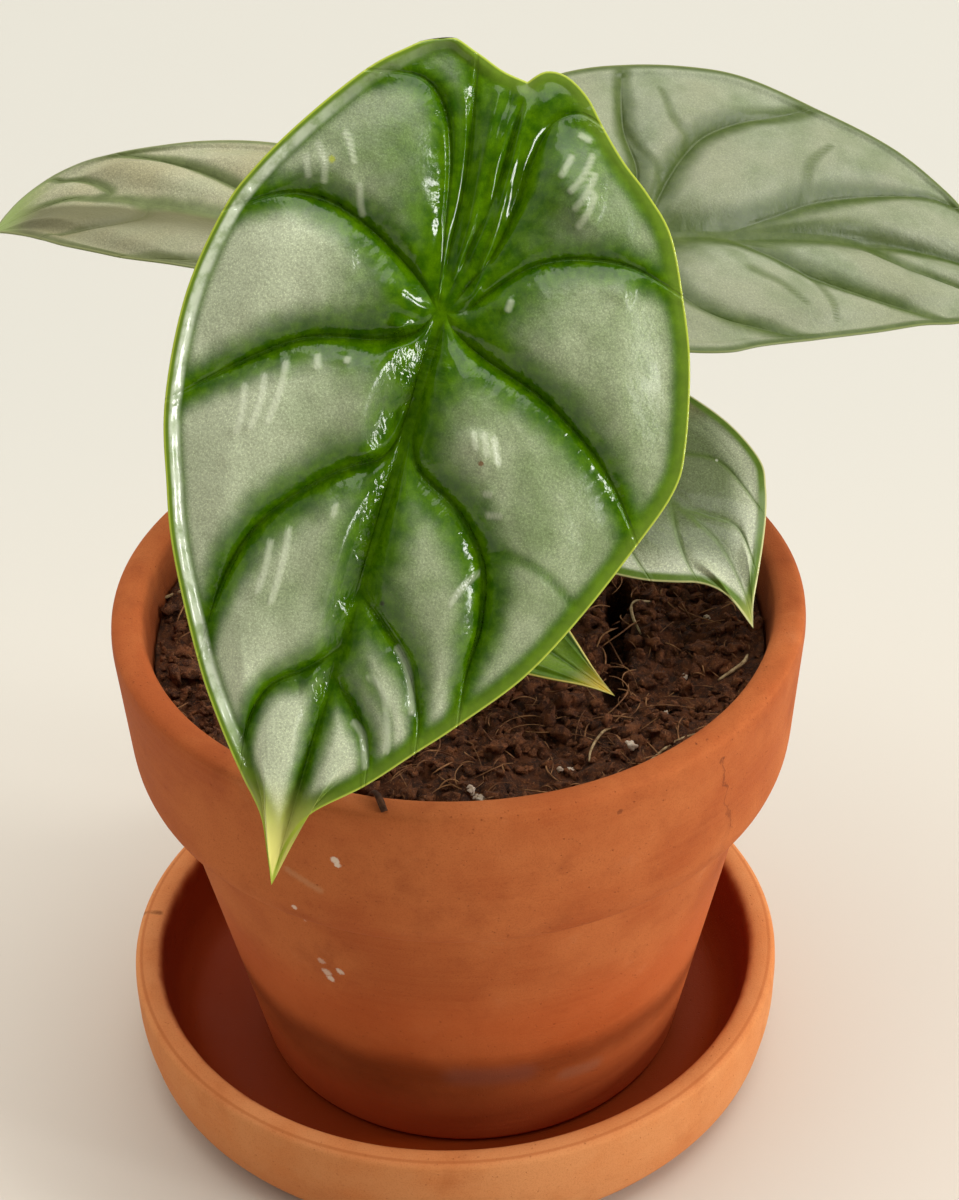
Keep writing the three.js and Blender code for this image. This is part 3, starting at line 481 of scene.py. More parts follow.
def tube(path, radii, sides=8, ridges=None):
    """A tapering tube of round section along a path of 3-D points."""
    path = np.asarray(path, float)
    radii = np.broadcast_to(np.asarray(radii, float), (len(path),))
    ahead = np.gradient(path, axis=0)
    ahead /= np.linalg.norm(ahead, axis=1)[:, None]
    side = np.array([1.0, 0, 0]) if abs(ahead[0][0]) < 0.9 else np.array([0, 1.0, 0])
    points = []
    angles = np.arange(sides) * TURN / sides
    for i, (centre, forward, radius) in enumerate(zip(path, ahead, radii)):
        side = side - forward * (side @ forward)
        side /= np.linalg.norm(side)
        other = np.cross(forward, side)
        r = radius * (1 if ridges is None else ridges(angles, i / (len(path) - 1)))
        r = np.broadcast_to(r, (sides,))
        points.append(centre + (r * np.cos(angles))[:, None] * side + (r * np.sin(angles))[:, None] * other)
    faces = []
    for base in range(0, (len(path) - 1) * sides, sides):
        for j in range(sides):
            m = (j + 1) % sides
            faces.append((base + j, base + m, base + sides + m, base + sides + j))
    faces.append(tuple(range(sides))[::-1])
    faces.append(tuple(range((len(path) - 1) * sides, len(path) * sides)))
    return np.concatenate(points), faces


def joined(parts):
    """Several (points, faces) as one."""
    points, faces, base = [], [], 0
    for p, f in parts:
        points.append(np.asarray(p, float))
        faces.extend(tuple(i + base for i in face) for face in f)
        base += len(p)
    return np.concatenate(points), faces


def srgb(*display):
    """A colour given in 0-255 display values, as linear RGBA."""
    shares = [v / 255 for v in display]
    return (*(v / 12.92 if v <= 0.04045 else ((v + 0.055) / 1.055) ** 2.4 for v in shares), 1.0)


class Value:
    """The output of a node. Sums, differences and products of values add the nodes that work them out."""

    def __init__(self, nodes, socket):
        self.nodes, self.socket = nodes, socket

    def __add__(self, other):
        return self.nodes.math("ADD", self, other)

    def __sub__(self, other):
        return self.nodes.math("SUBTRACT", self, other)

    def __rsub__(self, other):
        return self.nodes.math("SUBTRACT", other, self)

    def __mul__(self, other):
        return self.nodes.math("MULTIPLY", self, other)


class Nodes:
    """A node tree in the making. Each method adds a node and returns its output."""

    def __init__(self, owner):
        owner.use_nodes = True
        self.tree = owner.node_tree

    def put(self, socket, value):
        """Links a value to the socket or sets the socket. Colours are 0-255 display values."""
        if isinstance(value, Value):
            self.tree.links.new(value.socket, socket)
        else:
            socket.default_value = srgb(*value) if socket.type == "RGBA" else value

    def node(self, kind, inputs=None, output=0, **settings):
        node = self.tree.nodes.new("ShaderNode" + kind)
        for key, value in settings.items():
            setattr(node, key, value)
        for key, value in (inputs or {}).items():
            self.put(node.inputs[key], value)
        return Value(self, node.outputs[output])

    def math(self, operation, a, b=0.0, clamp=False):
        return self.node("Math", {0: a, 1: b}, operation=operation, use_clamp=clamp)

    def vector(self, operation, inputs, output="Vector"):
        return self.node("VectorMath", inputs, output, operation=operation)

    def combine(self, x, y, z=0.0):
        return self.node("CombineXYZ", {0: x, 1: y, 2: z})

    def length(self, a, b):
        return self.math("SQRT", a * a + b * b)

    def separate(self, vector):
        return [Value(self, s) for s in self.node("SeparateXYZ", {0: vector}).socket.node.outputs]

    def remap(self, value, low, high, to_low=0.0, to_high=1.0, smooth=True):
        return self.node("MapRange", {0: value, 1: low, 2: high, 3: to_low, 4: to_high},
                         interpolation_type="SMOOTHSTEP" if smooth else "LINEAR")


class Look(Nodes):
    """A node material in the making, with places in millimetres."""

    def __init__(self, name, specular=0.5, coat=0.0):
        self.material = bpy.data.materials.new(name)
        super().__init__(self.material)
        self.shader = self.tree.nodes["Principled BSDF"]
        for socket, value in {"IOR": 1.45, "Coat Weight": coat, "Coat Roughness": 0.1,
                              "Specular IOR Level": specular}.items():
            self.shader.inputs[socket].default_value = value
        place = self.node("TexCoord", output="Object")
        self.mm = self.vector("SCALE", {0: place, "Scale": 1 / MM})

    def finish(self, colour, rough, normal=None):
        self.put(self.shader.inputs["Base Color"], colour)
        self.put(self.shader.inputs["Roughness"], rough)
        if normal is not None:
            self.put(self.shader.inputs["Normal"], normal)
        return self.material

    def attribute(self, name):
        return self.node("Attribute", output="Fac", attribute_name=name)

    def stretch(self, scale):
        return self.vector("MULTIPLY", {0: self.mm, 1: scale})

    def noise(self, scale, detail=3.0, roughness=0.5, place=None, distortion=0.0):
        return self.node("TexNoise", {"Vector": place or self.mm, "Scale": scale, "Detail": detail,
                                      "Roughness": roughness, "Distortion": distortion}, "Fac")

    def cells(self, scale, feature="F1"):
        return self.node("TexVoronoi", {"Vector": self.mm, "Scale": scale}, "Distance", feature=feature)

    def mix(self, factor, a, b):
        """Two colours mixed; the colour sockets of the node come after those for numbers and vectors."""
        return self.node("Mix", {0: factor, 6: a, 7: b}, 2, data_type="RGBA")

    def bump(self, height, distance, normal=None):
        inputs = {"Strength": 1.0, "Distance": distance * MM, "Height": height}
        if normal is not None:
            inputs["Normal"] = normal
        return self.node("Bump", inputs)

    def from_line(self, start, end, place):
        """Distance of a place from a straight line between two places in millimetres."""
        step = np.subtract(end, start)
        gone = self.vector("SUBTRACT", {0: place, 1: start})
        share = self.vector("DOT_PRODUCT", {0: gone, 1: tuple(step / (step @ step))}, "Value")
        share = self.math("ADD", share, 0.0, clamp=True)
        reached = self.vector("SCALE", {0: tuple(step), "Scale": share})
        return self.vector("DISTANCE", {0: gone, 1: reached}, "Value")

    def near(self, place, radius, ragged):
        """1 within a radius of a place in millimetres, 0 outside, with a ragged edge."""
        away = self.vector("DISTANCE", {0: self.mm, 1: place}, "Value") + ragged
        return self.remap(away, radius * 0.7, radius * 1.3, 1.0, 0.0)


def leaf_look(name, green, deep, silver, pale, rim_colour, under, roughness, gloss_roughness, grain,
              vein_tone_and_crease_shade, tip, green_from, green_to, line, coat=0.0, cast=None, ragged=1.0, wall=0.1,
              edge_line=(0.12, 0.4), band=(0.6, 3.2), flecks=(), blend=1.8, specular=0.5, lobe_green=0.0,
              vein_share=1.0, painted_sheen=None, back=None, painted_sheen_left=None, band_tone=None, near_side_shade=None,
              lip=0.0, painted_margin_highlight=None):
    """The upper face: silver panels between green vein zones; the lower face paler with raised ribs."""
    look = Look(name, specular, coat)
    vein, run, rim, heart, minor, lower, ripe, apart, wet, pucker, along, across = (
        look.attribute(a) for a in ("vein", "run", "rim", "heart", "minor", "under", "ripe", "apart", "wet",
                                    "pucker", "along", "across"))

    comb = look.noise(1.0, 2.0, 0.6, look.combine(run * 0.8, vein * 0.3))
    comb = (comb - 0.5) * (apart * (0.55 * ragged))
    blotch = (look.noise(0.22, 4.0, 0.6) - 0.5) * (4.0 * ragged) * look.remap(vein, 0.4, 3.0)
    panel = look.remap(vein + comb + blotch, green_from, green_to)
    panel = panel * look.remap(minor + comb * 0.2, 0.0, 1.8, 0.5, 1.0)
    panel = panel * vein_share + (1 - vein_share)
    panel = panel * look.remap(rim + comb * 0.3, *band)
    sheen = look.math("POWER", panel, blend)
    if lobe_green:
        sheen = sheen * look.remap(along, 8.0, 34.0, 1.0, 1 - lobe_green)

    fine = look.noise(3.0, 2.0, 0.7)
    silver_tone = look.mix(look.remap(look.noise(0.12, 3.0, 0.55), 0.3, 0.7), silver, pale)
    if cast is not None:
        silver_tone = look.mix(look.remap(look.noise(0.06, 2.0), 0.35, 0.65, 0.0, 0.7), silver_tone, cast)
    # Painted sheen: the front leaf's left half below the lobes, and its tip, are painted paler where
    # highlights fall.
    if painted_sheen_left is not None:
        share = look.remap(along, 12.0, 20.0, 1.0, 0.0) * look.remap(across, -26.0, -4.0, 0.75, 0.0)
        share = look.math("MAXIMUM", share, look.remap(along, -66.0, -40.0, 0.9, 0.0))
        silver_tone = look.mix(share, silver_tone, painted_sheen_left)
    # Painted sheen: the blade is painted paler near its edge towards the tip.
    if painted_sheen is not None:
        shine = look.remap(rim, 2.0, 7.5, 1.0, 0.0) * look.remap(along, -18.0, -4.0, 1.0, 0.0) * 0.85
        silver_tone = look.mix(shine, silver_tone, painted_sheen)
    if back is not None:
        share = look.remap(rim, 0.5, 7.0, 0.95, 0.0) * look.remap(along, -9.0, -2.0)
        silver_tone = look.mix(share, silver_tone, back)
    green_tone = look.mix(look.remap(look.noise(0.4, 4.0, 0.6), 0.3, 0.72), deep, green)
    colour = look.mix(sheen, green_tone, silver_tone)
    shimmer = look.remap(fine, 0.34, 0.68, 0.74, 1.24, smooth=False)
    glitter = shimmer * look.remap(look.cells(3.6), 0.1, 0.45, 1.3, 0.88) - 1.0
    glitter = glitter * look.remap(panel, 0.0, 1.0, 0.3, grain) + 1.0
    colour = look.vector("SCALE", {0: colour, "Scale": glitter})

    # Puckers are painted paler along their crests as a painted highlight; the same mask makes them glossier.
    fold = look.remap(pucker, 0.4, 1.0)
    colour = look.mix(fold * 0.4, colour, PUCKER_HIGHLIGHT_TONE)
    wet = look.math("MAXIMUM", wet, fold * 0.7)
    if band_tone is not None:
        colour = look.mix(look.remap(rim, 0.4, 3.2, 0.5, 0.0), colour, band_tone)
    # Painted highlight: a pale strip along the inner flank of the left margin.
    if painted_margin_highlight is not None:
        strip = look.remap(rim, 0.6, 1.1) * look.remap(rim, 1.9, 2.7, 1.0, 0.0)
        strip = strip * look.remap(across, -8.0, -17.0) * look.remap(along, 14.0, 34.0, 1.0, 0.2)
        strip = strip * look.remap(look.noise(0.35, 4.0, 0.65), 0.3, 0.6, 0.35, 0.85)
        colour = look.mix(strip, colour, painted_margin_highlight)
    # Painted shade: the half of the blade on the near side of the midrib is painted darker.
    if near_side_shade is not None:
        shade = look.remap(across, -1.0, 1.5, 0.0, 0.9) * look.remap(across, 4.0, 12.0, 1.0, 0.4)
        colour = look.mix(shade, colour, near_side_shade)

    inland = look.remap(rim, 1.5, 7.0)
    # A thin line in each vein's crease: the vein's own tone, which on the front leaf is dark as painted
    # shade in the crease.
    crease = look.remap(vein, 0.1, 0.26, 1.0, 0.0) * look.remap(heart, 2.0, 9.0, 0.0, line)
    colour = look.mix(crease * inland * (1.0 - ripe), colour, vein_tone_and_crease_shade)
    colour = look.mix(ripe, colour, tip)
    colour = look.mix(look.remap(rim, *edge_line, 1.0, 0.0), colour, rim_colour)
    for (x, y), radius, tone in flecks:
        away = look.length(across - x, along - y) + (fine - 0.5) * radius
        colour = look.mix(look.remap(away, radius * 0.5, radius * 1.2, 0.85, 0.0), colour, tone)
    below = look.mix(look.remap(vein, 0.3, 1.1), VEIN_BELOW, under)
    below = look.mix(look.remap(look.noise(0.3, 3.0), 0.35, 0.65, 0.0, 0.5), below, SHADE_BELOW)
    colour = look.mix(lower, colour, below)

    rough = look.remap(panel, 0.0, 1.0, gloss_roughness, roughness) * (1.0 - wet * 0.5)
    rough = look.math("ADD", rough + (fine - 0.5) * 0.12, lower * 0.2, clamp=True)

    beads = look.noise(1.0, 2.0, 0.5, look.combine(run * 0.75, vein * 0.4, 3.0))
    on_wall = look.remap(vein, 0.15, 0.8) * look.remap(vein, 1.2, 4.0, 1.0, 0.0) * apart
    normal = look.bump(beads * on_wall, wall)
    if lip:
        dashes = look.noise(1.0, 3.0, 0.6, look.combine(run * 0.8, 0.0, 7.0))
        dashes = look.remap(dashes, 0.35, 0.65, 0.3, 1.0) * apart * inland
        normal = look.bump(dashes * look.remap(vein, 0.1, 0.7, -1.0, 0.0), lip, normal)
        wrinkles = look.noise(0.7, 1.5, 0.5, look.stretch((1.3, 1.0, 0.6)), 0.8)
        normal = look.bump(wrinkles * wet, 0.2, normal)
    normal = look.bump(look.cells(1.7, "SMOOTH_F1") * panel, 0.06, normal)
    normal = look.bump(fine * panel, 0.045, normal)
    return look.finish(colour, rough, normal)


def clay_look(name, base, light, dark, dark_inside, damp_and_foot_light=(), specks=(), strokes=(), bloom=0.15, groove_shade=None):
    """Unglazed terracotta: turning lines, mottling, pores, lime bloom, a wet ring, painted light low down.
    """
    look = Look(name, specular=0.16)
    x, y, z = look.separate(look.mm)
    mottle = look.noise(0.045, 5.0, 0.6)
    colour = look.mix(look.remap(mottle, 0.32, 0.68), base, light)
    stains = look.noise(0.11, 5.0, 0.65, look.stretch((1.0, 1.0, 0.7)))
    colour = look.mix(look.remap(stains, 0.5, 0.78, 0.0, 0.45), colour, dark)
    rings = look.noise(1.0, 3.0, 0.6, look.combine(x * 0.01, y * 0.01, z * 1.1))
    colour = look.mix(look.remap(rings, 0.35, 0.7, 0.0, 0.22), colour, light)
    grit = look.noise(3.4, 3.0, 0.65)
    colour = look.mix(look.remap(grit, 0.3, 0.55, 0.3, 0.0), colour, dark)
    colour = look.mix(look.remap(grit, 0.6, 0.8, 0.0, 0.25), colour, light)
    lime = look.noise(0.09, 6.0, 0.72, distortion=0.4)
    colour = look.mix(look.remap(lime, 0.58, 0.85, 0.0, bloom), colour, BLOOM_TONE)
    rough = look.remap(mottle, 0.3, 0.7, 0.74, 0.9)
    pit = look.remap(look.cells(0.9) + look.noise(0.5) * 0.5, 0.28, 0.36, 1.0, 0.0)
    # Pores are dented by the bump below and painted darker in the dents, as painted shade.
    colour = look.mix(pit * 0.4, colour, dark)

    level = z + (look.noise(0.07, 4.0, 0.6) - 0.5) * 7.0
    # Bands by height, each also glossier: a darker one is a wet ring, a paler one is painted light.
    for low, fade, high, strength, tone in damp_and_foot_light:
        ring = look.remap(level, low - fade, low + fade)
        ring = ring * look.remap(level, high - fade, high + fade, 1.0, 0.0) * strength
        colour = look.mix(ring, colour, tone)
        rough = rough - ring * 0.25
    # Darker and glossier inside the mouth above a height; on the pot this is painted shade on the inner
    # wall.
    axis, inner, above, strength, tone = dark_inside
    away = look.length(x - axis, y) + (look.noise(0.2, 3.0) - 0.5) * 1.2
    inside = look.remap(away, inner - 0.8, inner + 0.8, strength, 0.0) * look.remap(z, above, above + 1)
    colour = look.mix(inside, colour, tone)
    rough = rough - inside * 0.3

    ragged = (look.noise(1.3, 3.0, 0.7) - 0.5) * 1.1
    bent = (look.noise(0.22, 3.0, 0.6) - 0.5) * 4.0
    bent = look.vector("ADD", {0: look.mm, 1: look.combine(bent, bent)})
    for place, radius, strength, tone in specks:
        colour = look.mix(look.near(place, radius, ragged) * strength, colour, tone)
    for start, end, radius, strength, tone in strokes:
        away = look.from_line(start, end, bent if radius < HAIRLINE else look.mm)
        mask = look.remap(away + ragged * min(1.0, radius), radius * 0.2, radius * 1.4, 1.0, 0.0)
        colour = look.mix(mask * strength, colour, tone)
    # Painted shade: a thin dark ring where a groove's shade would lie; the surface has no groove.
    if groove_shade is not None:
        groove_radius, above = groove_shade
        aside = look.math("ABSOLUTE", look.length(x, y) - groove_radius)
        line = look.remap(aside, 0.1, 0.45, 0.5, 0.0) * look.remap(z, above, above + 1)
        colour = look.mix(line, colour, dark)
    normal = look.bump(rings, 0.08)
    normal = look.bump(grit, 0.06, normal)
    normal = look.bump(pit * -1.0, 0.12, normal)
    return look.finish(colour, rough, normal)


def soil_look(name, dark, mid, light, fleck):
    """Coir and peat: three tones of brown, with pale strands."""
    look = Look(name, specular=0.3)
    coarse = look.noise(0.5, 6.0, 0.7)
    grit = look.noise(2.6, 4.0, 0.7)
    colour = look.mix(look.remap(coarse, 0.34, 0.66), dark, mid)
    colour = look.mix(look.remap(grit, 0.52, 0.72, 0.0, 0.8), colour, light)
    strands = look.noise(1.0, 3.0, 0.6, look.stretch((2.4, 0.35, 1.0)))
    colour = look.mix(look.remap(strands, 0.66, 0.74, 0.0, 0.6), colour, fleck)
    rough = look.remap(coarse, 0.3, 0.7, 0.62, 0.95)
    return look.finish(colour, rough, look.bump(grit, 0.25, look.bump(coarse, 0.9)))


def plain_look(name, base, second, scale, roughness, bump, bump_scale, specular, stretch=None):
    """A natural surface of two tones in a noise pattern, with fine relief."""
    look = Look(name, specular)
    place = look.stretch(stretch) if stretch else look.mm
    tone = look.noise(scale, 4.0, 0.6, place)
    fine = look.noise(bump_scale, 3.0, 0.6, place)
    rough = look.remap(fine, 0.3, 0.7, roughness - 0.08, roughness + 0.08)
    return look.finish(look.mix(look.remap(tone, 0.35, 0.65), base, second), rough, look.bump(fine, bump))


def blade_axes(leaf):
    """The blade's x, y and z axes in the part's frame."""
    yaw, slope, roll = (math.radians(leaf[k]) for k in ("yaw", "slope", "roll"))
    y = Vector((-math.cos(yaw) * math.cos(slope), -math.sin(yaw) * math.cos(slope), math.sin(slope)))
    z = (Vector((0, 0, 1)) - y * y.z).normalized()
    turn = Matrix.Rotation(-roll, 3, y)
    return tuple(np.array(v) for v in (turn @ y.cross(z), y, turn @ z))


def blade_form(leaf, x, y):
    """The blade's broad shape: folded, cupped, drooping towards the tip and bent back at the lobes."""
    length = leaf["length"]
    tipward, lobeward = np.maximum(0, -y / length), np.maximum(0, y / length)
    return (leaf["fold"] * np.abs(x) - leaf["cup"] * x * x / length - leaf["droop"] * length * tipward ** 3
            - leaf["back"] * length * lobeward ** 2 - leaf.get("twist", 0) * x * tipward)


def swell_profile(uphill, steep, gentle):
    over = np.maximum(0, uphill - steep)
    return np.clip(uphill / steep, 0, 1) * np.exp(-(over / gentle) ** 2)


def quilting(f, t, band, reach, width, rise, margin, valley, steep):
    """Rise of a panel between two veins, at the share f across it and the shares t of the way out."""
    crest = lerp(band, 1, MARGIN_CREST)
    bulge = 1 - np.abs(2 * f - 1) ** PANEL_EDGE
    from_rib = 1 - np.exp(-((t * reach / valley) ** steep))
    to_band = 1 - 0.9 * smoothstep(t / band, PANEL_END, 1)
    rim = MARGIN_RISE * smoothstep(t, band, crest) * (1 - 0.5 * smoothstep(t, crest, 1))
    return (rise * np.minimum(width, WIDEST_PANEL) * bulge * from_rib * to_band
            + rim * margin * np.minimum(1, reach * MARGIN_SHARE / MARGIN))


def eased(count, steps, share):
    """Shares from 0 to 1 in this many steps, drawn together a little at both ends."""
    even = np.arange(steps) / count
    return lerp(even, (1 - np.cos(math.pi * even)) / 2, share)


def half_grid(leaf, side, detail):
    """Rows of points that run out along the veins of one half, from the midrib to the edge, each point's
    quilting, and the veins' lines."""
    sign, margin = (1, -1)[SIDES.index(side)], detail["margin"][SIDES.index(side)]
    edge = np.asarray(leaf[side]["edge"], float)
    last = len(edge) - 1
    rib = RIB * leaf["length"] / RIB_LENGTH

    def origin(m):
        m = np.asarray(m, float)
        return spline(leaf["midrib"], m) + np.stack([sign * rib * (1 - m), np.zeros_like(m)], -1)

    ribs = [(0, np.array([0, rib]), leaf["sinus"], 0)]
    ribs += [(share, origin(share), via, to) for share, via, to in leaf[side]["veins"]]
    ribs += [(1, origin(1), [], last)]
    lines = [[tuple(start), *via, tuple(edge[to])] for _, start, via, to in ribs]
    tip = spline(leaf["midrib"], 1.0)

    def along(k, t):
        return np.broadcast_to(tip, (len(t), 2)) if k == len(ribs) - 1 else by_length(lines[k], t)

    inner = eased(detail["inner"], detail["inner"] + 1, 0.25)
    outer = np.linspace(0, 1, detail["outer"] + 1)[1:]
    grid, quilt = [], []
    for k, ((m_a, start_a, _, to_a), (m_b, start_b, _, to_b)) in enumerate(zip(ribs, ribs[1:])):
        widest = np.linalg.norm(edge[to_a] - edge[to_b])
        count = int(np.clip(round(widest / detail["every"]), *ROWS))
        for f in eased(count, count + (k == len(ribs) - 2), 0.5):
            start = lerp(start_a, start_b, f) if k == 0 else origin(lerp(m_a, m_b, f))
            end = spline(edge, lerp(to_a, to_b, f) / last)
            reach = max(np.linalg.norm(start - end), 1e-6)
            band = 1 - min(MARGIN, MARGIN_SHARE * reach) / reach
            t = np.concatenate([inner * band, lerp(band, 1, outer)])
            pa, pb = along(k, t), along(k + 1, t)
            p = lerp(pa, pb, f)
            p = p + (start - lerp(pa[0], pb[0], f)) * ((1 - t) ** 2)[:, None]
            p = p + (end - lerp(pa[-1], pb[-1], f)) * (t ** 2)[:, None]
            grid.append(p)
            width = np.linalg.norm(pa - pb, axis=1)
            quilt.append(quilting(f, t, band, reach, width, leaf["panel"], margin,
                                  *detail.get("valley", VALLEY)))
    return np.array(grid), np.array(quilt), lines


def blade_points(leaf, detail):
    """Points of the whole blade in its plane, their quilting, each half's rows of point numbers, the
    veins with the midrib first, and the line of the notch."""
    plane, quilt, index, total = [], [], {}, 0
    veins = [drawn(leaf["midrib"], 60)]
    for side in SIDES:
        grid, bulge, lines = half_grid(leaf, side, detail)
        index[side] = total + np.arange(bulge.size).reshape(bulge.shape)
        total += bulge.size
        plane.append(grid.reshape(-1, 2))
        quilt.append(bulge.reshape(-1))
        veins += [by_length(line, np.linspace(0, 1, 46)) for line in lines[1:-1]]
    p, quilt = np.concatenate(plane), np.concatenate(quilt)

    # Places that several rows share become one point: the junction, the notch and the tip.
    shared = np.zeros(total, bool)
    for rows in index.values():
        for ids in (rows[:, 0], rows[0], rows[-1]):
            shared[ids] = True
    target = np.arange(total)
    known = {}
    for i in np.flatnonzero(shared):
        target[i] = known.setdefault((round(p[i, 0], 3), round(p[i, 1], 3)), i)
    kept, back = np.unique(target, return_inverse=True)
    index = {side: back[ids] for side, ids in index.items()}
    return p[kept], quilt[kept], index, veins, by_length(lines[0], np.linspace(0, 1, 30))


def measured(name, leaf, detail, p, veins, notch_line):
    """Distances that shape and colour the blade, for each point."""
    at = SimpleNamespace(p=p, x=p[:, 0], y=p[:, 1], tipward=-p[:, 1] / leaf["length"])
    at.size = leaf["length"] / RIB_LENGTH
    at.heart = np.linalg.norm(p, axis=1)
    at.run, at.raised, at.minor = np.zeros(len(p)), np.ones(len(p)), np.full(len(p), 9.0)
    at.vein, second, at.plain, at.branch = np.full((4, len(p)), np.inf)
    for k, line in enumerate(veins):
        away, walked, length = to_line(p, line)
        strength, share = (0.8, 1.0) if k else (1.0, 0.35)
        scaled = away / (detail["vein_width"] * strength * lerp(1.25, 0.6, walked / length))
        near = scaled < at.vein
        second = np.where(near, at.vein, np.minimum(second, scaled))
        at.vein[near], at.run[near] = scaled[near], walked[near] + k * RUN_APART
        at.plain = np.minimum(at.plain, away)
        if k:
            at.branch = np.minimum(at.branch, away)
        at.raised *= 1 - share * np.exp(-(away / detail["flank_width"]) ** detail["pinch"])
    at.fold = to_line(p, notch_line)[0]
    notch = smoothstep(at.y, 2, 7) * smoothstep(at.x, -5, -2) * smoothstep(at.x, 12, 8)
    at.apart = smoothstep(second - at.vein, 0.9, 2.6) * smoothstep(at.heart, 2.0, 5.0) * (1 - 0.9 * notch)
    at.vein = at.vein * lerp(0.3, 1, smoothstep(at.heart, detail["heart"] * 0.3, detail["heart"] * 1.5))
    at.vein = np.minimum(at.vein, 0.5 + detail["sinus"] * at.fold)
    at.vein = at.vein * lerp(1, 2.2, smoothstep(at.tipward, 0.45, 0.85))
    outline = np.concatenate([drawn(leaf["right"]["edge"], 160), drawn(leaf["left"]["edge"], 160)[::-1]])
    at.rim, at.around, _ = to_line(p, outline)
    for line in MINOR_VEINS.get(name, ()):
        away, walked, length = to_line(p, drawn(line, 24))
        at.minor = np.minimum(at.minor, away / lerp(1.2, 0.6, walked / length))
    return at


def relief(name, leaf, detail, at, quilt):
    """Height of the upper face over the blade's plane."""
    inner = smoothstep(at.rim, 1.5, 4.5)
    tip_fade = 1 - smoothstep(at.tipward, 0.78, 0.92)
    height = blade_form(leaf, at.x, at.y) + quilt * lerp(1, detail["quilt"], inner)
    flank = detail["flank"] * (at.raised - 0.5 * smoothstep(at.heart, 1.5, 8.0))
    height += flank * smoothstep(at.rim, 1.2 * at.size, 9 * at.size) * tip_fade
    facing = lerp(-0.15, 1.0, smoothstep(-at.x, -5, 10))
    ruffle = lerp(0.1, 0.4, smoothstep(at.y, -4, 12)) * wobble(at.around * 0.7, at.around * 0.3, 3)
    ramp = np.clip((2.4 + ruffle - at.rim) / 1.5, 0, 1)
    height += detail["roll"] * facing * lerp(ramp, smoothstep(ramp, 0, 1), 0.35) * tip_fade
    grooves = (0.1 * np.exp(-(at.plain / 0.5) ** 2) * smoothstep(at.rim, 0.5, 3)
               + 0.22 * np.exp(-(at.minor / 0.7) ** 2)
               + 0.35 * np.exp(-(at.fold / 0.8) ** 2) * smoothstep(at.heart, 2, 8))
    swell = 0.16 * wobble(at.x * 0.55, at.y * 0.55, len(name)) + 0.06 * wobble(at.x * 1.3, at.y * 1.3, 2)
    height += at.size * (swell * inner * smoothstep(at.plain, 0.5, 3) - grooves)
    crimp = np.sin(TURN * at.run / CRIMP_LENGTH + 2.2 * wobble(at.x * 0.5, at.y * 0.5, 1))
    crimp *= np.exp(-at.plain / 3.2) * smoothstep(at.plain, 0.3, 1.2)
    return height + detail["wrinkle"] * crimp * inner * at.apart


def front_relief(at, height, midrib):
    """The front leaf's folds, shoulders, bank, swells and puckers: its height with them, and how far each
    point lies on a pucker or on a wet strip."""
    for line, rise, spread in FRONT_FOLDS:
        away, walked, length = to_line(at.p, drawn(line, 30))
        taper = smoothstep(walked, -0.5, 2.0) * smoothstep(length - walked, -0.5, 2.0)
        height = height + rise * taper * np.exp(-(away / spread) ** 2)
    for (cx, cy), (sx, sy), rise in SHOULDERS:
        hump = np.exp(-((at.x - cx) / sx) ** 2 - ((at.y - cy) / sy) ** 2)
        height = height + rise * hump * smoothstep(at.plain, 0, 2.5)

    midrib = midrib[np.argsort(at.y[midrib])]
    beside = np.interp(at.y, at.y[midrib], at.x[midrib]) - at.x
    above = at.y - np.interp(beside, *FOURTH_VEIN)
    width = np.where(above > 0, BANK_ABOVE, np.interp(at.y, *BANK_BELOW))
    wet = smoothstep(beside, 0.05, 0.4) * smoothstep(beside, 1.35 * width, 0.75 * width)
    wet *= smoothstep(at.branch, 0.4, 1.8) * smoothstep(at.y, -2, -4.5) * smoothstep(at.y, -75, -68)
    height = lerp(height, np.interp(at.y, at.y[midrib], height[midrib]) + BANK_SLOPE * beside, wet)

    for line, rise, steep, gentle in SWELLS:
        uphill, taper = one_sided(at.p, line, SWELL_FADE)
        height = height + rise * taper * swell_profile(uphill, steep, gentle)
        strip = smoothstep(uphill, 0, 0.5) * smoothstep(uphill, steep + 0.8, steep)
        wet = np.maximum(wet, 0.8 * taper * strip)
    pucker = np.zeros(len(height))
    for line in PUCKERS:
        uphill, taper = one_sided(at.p, line if line[0][1] < line[-1][1] else line[::-1], PUCKER_FADE)
        height = height + PUCKER_RISE * taper * swell_profile(uphill, PUCKER_STEEP, PUCKER_GENTLE)
        pucker = np.maximum(pucker, taper * np.exp(-((uphill - 0.4) / PUCKER_STEEP) ** 2))
    return height, pucker, wet


def unlike(chain, closed=False):
    """The chain without numbers that repeat the one before."""
    return [v for i, v in enumerate(chain) if (i == 0 and not closed) or v != chain[i - 1]]


def sheet_faces(p, index):
    """Faces of the upper side: both halves, and the seam between them along the midrib."""
    sheet = []
    for side, ids in index.items():
        a, b, d, e = ids[:-1, :-1], ids[:-1, 1:], ids[1:, 1:], ids[1:, :-1]
        turn = (a, e, d, b) if side == "right" else (a, b, d, e)
        sheet.append(np.stack([q.ravel() for q in turn], 1))
    sheet = [tuple(dict.fromkeys(face)) for face in np.concatenate(sheet).tolist()]
    sheet = [face for face in sheet if len(face) > 2]
    right, left = (unlike([index[side][0, 1], *index[side][:, 0]]) for side in SIDES)
    r = l = 0
    while r + 1 < len(right) or l + 1 < len(left):
        step_right = l + 1 >= len(left) or (r + 1 < len(right) and p[right[r + 1], 1] >= p[left[l + 1], 1])
        face = (right[r], left[l], right[r + 1] if step_right else left[l + 1])
        if len(set(face)) == 3:
            sheet.append(face)
        r, l = (r + 1, l) if step_right else (r, l + 1)
    return sheet


